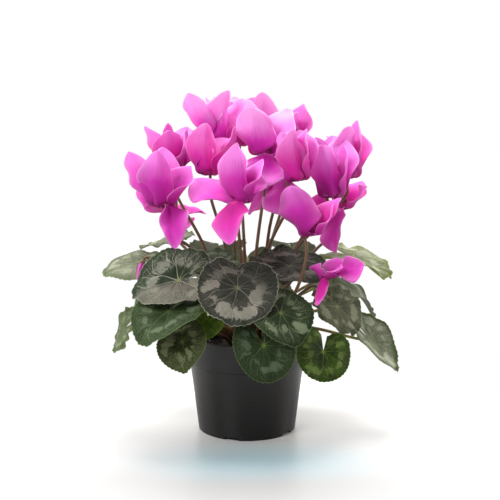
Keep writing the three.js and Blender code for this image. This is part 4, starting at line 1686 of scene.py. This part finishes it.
    def tube(self) -> Form:
        """The short cup that the petals turn back from, with a soft lip.

        Returns:
            The closed cup.
        """
        sizes = self.sizes
        mouth, length = sizes.mouth_radius, sizes.tube_length
        corners = [(0, length - 1.6, 0), (2.4, length - 2.4, 0.8), (mouth - sizes.wall, -0.2, 0.6)]
        corners += [(mouth - 0.5, -0.9, 0.5), (mouth + 0.1, 0.4, 0.6)]
        corners += [(sizes.crown_radius, length - 0.6, 0.8), (0, length, 0)]
        form = turned_form(rounded_profile(corners), sizes.segments)
        depth = np.clip(0.10 - form.points[:, 2] * 0.012, -0.1, 0.12)
        form.values["petal"] = triples(depth, 0.0, self.number * sizes.tube_seed_step % 1.0)
        return self.set_on(form)

    def style(self) -> Form:
        """The pale style that just shows in the mouth.

        Returns:
            The closed style, in the piece's second material.
        """
        profile = [(0, 7.2), (1.3, 7.0), (1.0, 3.0), (0.45, 0.6), (0.5, -0.9), (0.35, -1.3), (0, -1.4)]
        form = turned_form(profile, self.sizes.style_segments, 1)
        reach = np.clip((7.2 - form.points[:, 2]) / 8.6, 0, 1)
        form.values["petal"] = triples(reach, 0.0, 0.0)
        return self.set_on(form)

    def calyx(self) -> list[Form]:
        """A small cap under the stem with five pointed sepals pressed to the tube.

        Returns:
            The cap and the sepals.
        """
        sizes = self.sizes
        foot = sizes.tube_length + 0.3
        cap = [(0, foot, 0), (3.6, foot, 0.5), (3.2, foot + 1.1, 0.5), (1.5, foot + 2.6, 0.5)]
        cap += [(0, foot + 2.9, 0)]
        forms = [self.set_on(turned_form(rounded_profile(cap), sizes.calyx_segments))]
        share = np.linspace(0, 1, 9)[:, None]
        column = np.linspace(-1, 1, 7)[None, :]
        reach = 3.3 + 0.95 * np.sin(share * math.pi / 2)
        drop = foot + 1.0 - 5.4 * share ** 1.4
        wide = 2.3 * (1 - share ** 2.2) + 0.05
        for lobe in range(sizes.petals):
            turn = math.tau * lobe / sizes.petals + 0.3 + column * wide / 4.2
            points = triples(reach * np.cos(turn), reach * np.sin(turn), drop)
            forms.append(self.set_on(sheet_form(points, np.full(turn.shape, 0.22), {}, False)))
        for form in forms:
            form.values["along"] = np.full((len(form.points), 1), 0.93)
        return forms

    def stem(self) -> tuple[Array, Array]:
        """The hooked stem's path from the tuber's crown to the calyx.

        Returns:
            Its points and its radii.
        """
        plan, sizes = self.plan, self.sizes
        front, _, upward = self.axes()
        mouth = np.array(plan.mouth, float)

        def beside(away: float, height: float) -> Array:
            """A point beside the flower, at its own scale."""
            return mouth - front * away * plan.size + upward * height * plan.size

        offset = sizes.hook_offset
        start, direction = CROWN.start(plan.root, sizes.stem_lean)
        entry = beside(offset, -sizes.hook_entry)
        midway = start + (entry - start) * 0.52 + UP * 0.14 * (entry[2] - start[2])
        stations = [
            start,
            start + direction * (14 if plan.via else 30),
            np.array(plan.via, float) if plan.via else midway,
            entry,
            beside(offset, 2),
            beside(offset - 0.6, sizes.hook_rise - 2),
            beside(offset / 2, sizes.hook_rise + 0.27 * offset),
            beside(0.4, sizes.hook_rise - 0.6),
            beside(0, sizes.tube_length + 1.6),
        ]
        points = smooth_path(stations, sizes.steps_between)
        tip = sizes.stem_tip * math.sqrt(plan.size)
        return points, sizes.stem_base + (tip - sizes.stem_base) * share_along(points)


@dataclass
class Foliage:
    """All leaves, each piece a leaf with its stalk."""

    stalks: StalkTree
    finishes: dict[LeafTone, bpy.types.Material] = field(default_factory=dict)
    stalk_finish: StalkFinish = StalkFinish(
        "leaf_stalk", paint(96, 60, 46), paint(124, 106, 58), paint(142, 148, 62), paint(92, 66, 44)
    )
    seed_step: float = 0.6180339

    def finish_of(self, tone: LeafTone) -> bpy.types.Material:
        """The material of a tone, made when it is first asked for.

        Args:
            tone: The look of the leaf.

        Returns:
            The material.
        """
        if tone not in self.finishes:
            self.finishes[tone] = tone.value.material()
        return self.finishes[tone]

    def build(self) -> None:
        """Builds every leaf."""
        stalk = self.stalk_finish.material()
        for i, plan in enumerate(LEAVES):
            leaf = Leaf(plan, (i + 1) * self.seed_step % 1.0, 70.0 * i)
            self._piece(f"marbled_leaf_{i + 1:02d}", [leaf], stalk, Slot.LEAF, f"leaf_{i + 1:02d}")
        small = BladeSizes(columns=113, teeth=28)
        for name, plans, slot, node in (
            ("hanging_leaf_pair", HANGING_PAIR, Slot.LEAF, "hanging_leaves"),
            ("young_leaf_pair", YOUNG_PAIR, Slot.YOUNG_LEAF, "young_leaves"),
        ):
            pair = [Leaf(plan, 0.31 + 0.4 * i, 0.0, small) for i, plan in enumerate(plans)]
            self._piece(name, pair, stalk, slot, node)

    def _piece(
        self, name: str, leaves: list[Leaf], stalk: bpy.types.Material, slot: Slot, node: str
    ) -> None:
        """Makes one piece of one or two leaves on their stalks.

        Args:
            name: The piece's name.
            leaves: Its leaves, all of one tone.
            stalk: The stalks' material.
            slot: The record's material slot.
            node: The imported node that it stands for.
        """
        finish = self.finish_of(leaves[0].plan.tone)
        piece = make_piece(name, [leaf.blade() for leaf in leaves], [finish])
        self.stalks.add(piece, [leaf.stalk() for leaf in leaves], stalk)
        dress(piece, slot, node)


@dataclass
class Flowers:
    """All flowers and the bud, each with its stem as a piece of its own."""

    stalks: StalkTree
    petal_finish: PetalFinish = PetalFinish()
    style_finish: StyleFinish = StyleFinish()
    stem_finish: StalkFinish = StalkFinish(
        "flower_stem", paint(88, 60, 42), paint(106, 80, 54), paint(112, 80, 56), paint(72, 50, 36)
    )
    bud_girth: float = 5.4
    bud_tip: float = -21.0
    bud_rows: int = 48

    def build(self) -> None:
        """Builds every flower and the bud."""
        petal = self.petal_finish.material()
        style = self.style_finish.material()
        stem = self.stem_finish.material()
        for i, plan in enumerate(BLOOMS):
            bloom = Bloom(plan, i)
            forms = [bloom.petal(k) for k in range(bloom.sizes.petals)] + [bloom.tube(), bloom.style()]
            number = f"{i + 1:02d}"
            piece = make_piece(f"nodding_corolla_{number}", forms, [petal, style])
            dress(piece, Slot.PETAL, f"corolla_{number}")
            self._stem(bloom, f"hooked_stem_{number}", stem, f"flower_stem_{number}")
        closed = Bloom(BUD_PLAN, len(BLOOMS))
        dress(make_piece("furled_bud", [self._furled(closed)], [petal]), Slot.PETAL, "bud")
        self._stem(closed, "bud_stalk", stem, "bud_stem")

    def _stem(self, bloom: Bloom, name: str, finish: bpy.types.Material, node: str) -> None:
        """Makes a stem with the calyx on its end.

        Args:
            bloom: The flower that hangs on it.
            name: The piece's name.
            finish: The stem's material.
            node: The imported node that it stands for.
        """
        piece = make_piece(name, bloom.calyx(), [finish])
        self.stalks.add(piece, [bloom.stem()], finish)
        dress(piece, Slot.FLOWER_STEM, node)

    def _furled(self, bloom: Bloom) -> Form:
        """The bud: petals rolled into a twisted spindle that hangs from its calyx.

        Args:
            bloom: The bud's place and sizes.

        Returns:
            The closed spindle.
        """
        tube = bloom.sizes.tube_length
        girth, tip = self.bud_girth, self.bud_tip
        outline = [(0, tip), (0.25 * girth, tip + 1.2), (0.6 * girth, 0.5 * tip), (0.9 * girth, -4)]
        outline += [(girth, 0.6), (0.8 * girth, 0.6 * tube), (0.35 * girth, tube - 0.4), (0, tube)]
        heights = np.linspace(tip, tube, self.bud_rows)
        radii = np.interp(heights, [z for _, z in outline], [r for r, _ in outline])
        radii = np.convolve(np.pad(radii, 2, mode="edge"), np.ones(5) / 5, mode="valid")
        radii[0] = radii[-1] = 0.0
        form = turned_form(list(zip(radii.tolist(), heights.tolist())), bloom.sizes.segments)
        turn, _ = form.polar()
        height = form.points[:, 2]
        ridge = 1 + 0.07 * np.abs(np.sin(2.5 * turn + height * 0.16)) - 0.03
        form.points[:, :2] *= ridge[:, None]
        reach = np.clip((tube - height) / (tube - tip), 0, 1)
        form.values["petal"] = triples(0.35 + 0.65 * reach, np.sin(2.5 * turn), 0.4)
        return bloom.set_on(form)


@dataclass
class Ground:
    """The tuber and the compost that it sits in."""

    crown: Crown = CROWN
    mound: float = 3.0
    inner_top: float = 56.6
    inner_bottom: float = 46.3
    bottom: float = 4.9
    rows: int = 26
    segments: int = 120
    dome_steps: int = 22
    dome_segments: int = 96
    wrinkling: float = 0.7
    lumpiness: float = 0.45

    def build(self) -> None:
        """Builds the tuber, the compost and the crumbs on it."""
        dress(make_piece("corky_tuber", [self._tuber()], [CorkFinish().material()]), Slot.TUBER, "tuber")
        peat = PeatFinish("peat", paint(12, 9, 7), paint(38, 28, 22)).material()
        bed = dress(make_piece("compost_bed", [self._bed()], [peat]), Slot.COMPOST, "compost")
        strew = CrumbTree()
        crumbs = PeatFinish("peat_crumbs", paint(14, 11, 8), paint(58, 44, 34), 700.0)
        grit = PeatFinish("pale_grit", paint(150, 146, 138), paint(222, 219, 210), 900.0, 0.8)
        for name, finish, density, seed, smallest, largest in (
            ("compost_crumbs", crumbs, 220000.0, 11, 0.45, 1.5),
            ("compost_grit", grit, 7000.0, 29, 0.5, 1.3),
        ):
            inputs = {"Density": density, "Seed": seed, "Finish": finish.material()}
            inputs |= {"Smallest": smallest * MM, "Largest": largest * MM}
            dress(strew.grow(add_object(name, bed.data.copy()), inputs), Slot.COMPOST)

    def _tuber(self) -> Form:
        """The flattened, wrinkled dome.

        Returns:
            The closed tuber.
        """
        crown = self.crown
        foot = crown.level - crown.depth
        profile = [(0, foot), (0.3 * crown.radius, foot), (0.6 * crown.radius, foot + 0.4)]
        profile += [(0.8 * crown.radius, foot + 4), (0.95 * crown.radius, foot + 11)]
        for i in range(self.dome_steps + 1):
            angle = math.pi / 2 * i / self.dome_steps
            profile.append((crown.radius * math.cos(angle), crown.level + crown.rise * math.sin(angle)))
        profile[-1] = (0, crown.level + crown.rise)
        form = turned_form(profile, self.dome_segments)
        turn, reach = form.polar()
        reach = reach / crown.radius
        wrinkle = 0.35 * np.sin(13 * turn + 5 * reach) + 0.3 * np.sin(7 * turn - 9 * reach)
        wrinkle += 0.25 * np.sin(29 * turn + 17 * reach)
        form.points[:, 2] += wrinkle * smoothstep(0.05, 0.4, reach) * self.wrinkling
        return form

    def _bed(self) -> Form:
        """The crumbly mound, sloping a little to the pot's wall.

        Returns:
            The closed bed.
        """
        level = self.crown.level
        radii = np.linspace(0, self.inner_top - 0.5, self.rows)
        heights = level - self.mound * smoothstep(30, 58, radii)
        profile = [(0, self.bottom), (self.inner_bottom - 0.6, self.bottom)]
        profile += [(r, h) for r, h in zip(radii[::-1].tolist(), heights[::-1].tolist())]
        form = turned_form(profile, self.segments)
        turn, reach = form.polar()
        lumps = np.sin(9 * turn + 0.4 * reach) * np.cos(0.55 * reach) + np.sin(23 * turn - 0.7 * reach)
        raised = form.points[:, 2] > level - self.mound - 1
        form.points[:, 2] += np.where(raised, self.lumpiness * lumps * smoothstep(2, 20, reach), 0.0)
        return form


@dataclass
class Pot:
    """The round nursery pot, with a step below its rim band and notches in its foot."""

    rim_radius: float = 60.0
    foot_radius: float = 47.7
    height: float = 93.8
    wall: float = 1.4
    band_height: float = 27.5
    band_step: float = 0.9
    floor_underside: float = 3.0
    floor_thickness: float = 1.6
    foot_width: float = 2.6
    notch_count: int = 5
    notch_width: float = 13.0
    notch_height: float = 2.4
    drain_count: int = 5
    drain_radius: float = 4.0
    drain_circle: float = 33.0
    drain_segments: int = 32
    segments: int = 180
    sharp_from: float = 38.0
    finish: PotFinish = PotFinish()

    def outer(self, height: float) -> float:
        """The outer radius below the band at a height."""
        slant = (self.rim_radius - self.band_step - self.foot_radius) / self.height
        return self.foot_radius + slant * height

    def build(self) -> None:
        """Builds the pot and cuts its notches and drain holes."""
        band_foot = self.height - self.band_height
        floor_top = self.floor_underside + self.floor_thickness
        lip = self.outer(self.height)
        profile = rounded_profile(
            [
                (0, self.floor_underside, 0),
                (self.outer(0) - self.foot_width, self.floor_underside, 0.5),
                (self.outer(0) - self.foot_width, 0, 0.4),
                (self.outer(0), 0, 0.6),
                (self.outer(band_foot), band_foot, 0.35),
                (self.outer(band_foot) + self.band_step, band_foot + 0.8, 0.35),
                (self.rim_radius, self.height, 0.6),
                (lip - self.wall, self.height, 0.6),
                (self.outer(floor_top) - self.wall, floor_top, 1.6),
                (0, floor_top, 0),
            ],
            5,
        )
        piece = make_piece("nursery_pot", [turned_form(profile, self.segments)], [self.finish.material()])
        cutter = make_piece("pot_cutter", self._cutters(floor_top), [])
        cut = piece.modifiers.new("openings", "BOOLEAN")
        cut.object = cutter
        cut.solver = "EXACT"
        keep_shown(piece, cut)
        bpy.data.objects.remove(cutter)
        piece.data.shade_smooth()
        piece.data.set_sharp_from_angle(angle=math.radians(self.sharp_from))
        dress(piece, Slot.POT, "pot")

    def _cutters(self, floor_top: float) -> list[Form]:
        """The blocks that cut the foot's notches and the rods that cut the drain holes.

        Args:
            floor_top: The height of the pot's floor.

        Returns:
            The closed blocks and rods.
        """
        forms = []
        for i in range(self.notch_count):
            outward = compass(360 * (i + 0.5) / self.notch_count)
            along = np.cross(UP, outward)
            corners = [
                outward * (self.foot_radius + 6 * a) + along * (self.notch_width / 2 * b) + UP * h
                for h in (-2.0, self.notch_height)
                for a, b in ((-1, -1), (1, -1), (1, 1), (-1, 1))
            ]
            faces = [(0, 3, 2, 1), (4, 5, 6, 7), (0, 1, 5, 4), (1, 2, 6, 5), (2, 3, 7, 6), (3, 0, 4, 7)]
            forms.append(Form(np.array(corners), faces))
        rod = [(0, 0), (self.drain_radius, 0), (self.drain_radius, floor_top + 3), (0, floor_top + 3)]
        for i in range(self.drain_count):
            form = turned_form(rod, self.drain_segments)
            form.points = form.points + compass(360 * i / self.drain_count) * self.drain_circle
            forms.append(form)
        return forms


# The stage and the whole


@dataclass
class Studio:
    """The floor, the lights and the camera."""

    floor_size: float = 30.0
    camera_place: Point = (0.003, -0.900, 0.293)
    camera_pitch: float = 7.39
    lens: float = 67.2
    sensor: float = 36.0
    finish: FloorFinish = FloorFinish()
    panels: tuple[tuple[str, Point, float, float, Point], ...] = (
        ("sky_panel", (0.05, 0.15, 0.95), 0.6, 12.0, (1.0, 1.0, 1.0)),
        ("front_panel", (-0.75, -0.85, 1.0), 0.5, 12.0, (1.0, 0.99, 0.98)),
        ("left_panel", (-1.15, 0.1, 0.45), 0.6, 3.6, (1.0, 0.93, 0.86)),
        ("right_panel", (1.15, 0.1, 0.45), 0.6, 4.2, (1.0, 0.93, 0.86)),
    )
    panels_face: Point = (0.0, 0.0, 0.16)

    def build(self) -> None:
        """Builds the stage."""
        half = self.floor_size / 2
        corners = [(-half, -half, 0), (half, -half, 0), (half, half, 0), (-half, half, 0)]
        mesh = bpy.data.meshes.new("studio_floor")
        mesh.from_pydata(corners, [], [(0, 1, 2, 3)])
        mesh.materials.append(self.finish.material())
        add_object("studio_floor", mesh)
        self._camera()
        self._world()
        for panel in self.panels:
            self._panel(*panel)
        view = bpy.context.scene.view_settings
        view.view_transform = "Standard"
        view.look = "None"

    def _camera(self) -> None:
        """Sets the camera where the photographer's stood."""
        data = bpy.data.cameras.new("studio_camera")
        data.lens = self.lens
        data.sensor_width = self.sensor
        camera = add_object("studio_camera", data)
        camera.location = self.camera_place
        camera.rotation_euler = (math.radians(90 - self.camera_pitch), 0, 0)
        bpy.context.scene.camera = camera

    def _world(self) -> None:
        """A white surround, dimmer on the side where the photographer stands."""
        world = bpy.data.worlds.new("studio_world")
        world.use_nodes = True
        bpy.context.scene.world = world
        bench = Bench(world.node_tree)
        _, back, up = bench.parts(bench.make("ShaderNodeTexCoord", output="Generated"))
        toward_back = back.smooth(-0.5, 0.9) * 1.3 + up.smooth(0.1, 0.9) * 0.4
        seen = bench.make("ShaderNodeLightPath", output="Is Camera Ray")
        strength = seen + (1 - seen) * (toward_back + 0.12)
        light = bench.make("ShaderNodeBackground", inputs={"Color": WHITE, "Strength": strength})
        bench.make("ShaderNodeOutputWorld", inputs={"Surface": light})

    def _panel(self, name: str, place: Point, size: float, power: float, tint: Point) -> None:
        """Hangs a soft square light that faces the plant's middle.

        Args:
            name: The light's name.
            place: Where it hangs, in metres.
            size: Its side, in metres.
            power: Its power, in watts.
            tint: Its colour.
        """
        data = bpy.data.lights.new(name, "AREA")
        data.size = size
        data.energy = power
        data.color = tint
        lamp = add_object(name, data)
        lamp.location = place
        aim = Vector(self.panels_face) - Vector(place)
        lamp.rotation_euler = aim.to_track_quat("-Z", "Y").to_euler()


def write_sizes() -> None:
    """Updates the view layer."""
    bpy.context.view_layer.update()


def main() -> None:
    """Builds the stage, the pot, its contents, the leaves and the flowers."""
    logging.basicConfig(level=logging.INFO, format="%(name)s %(message)s")
    Studio().build()
    Pot().build()
    Ground().build()
    stalks = StalkTree()
    Foliage(stalks).build()
    Flowers(stalks).build()
    write_sizes()


if __name__ == "__main__":
    main()
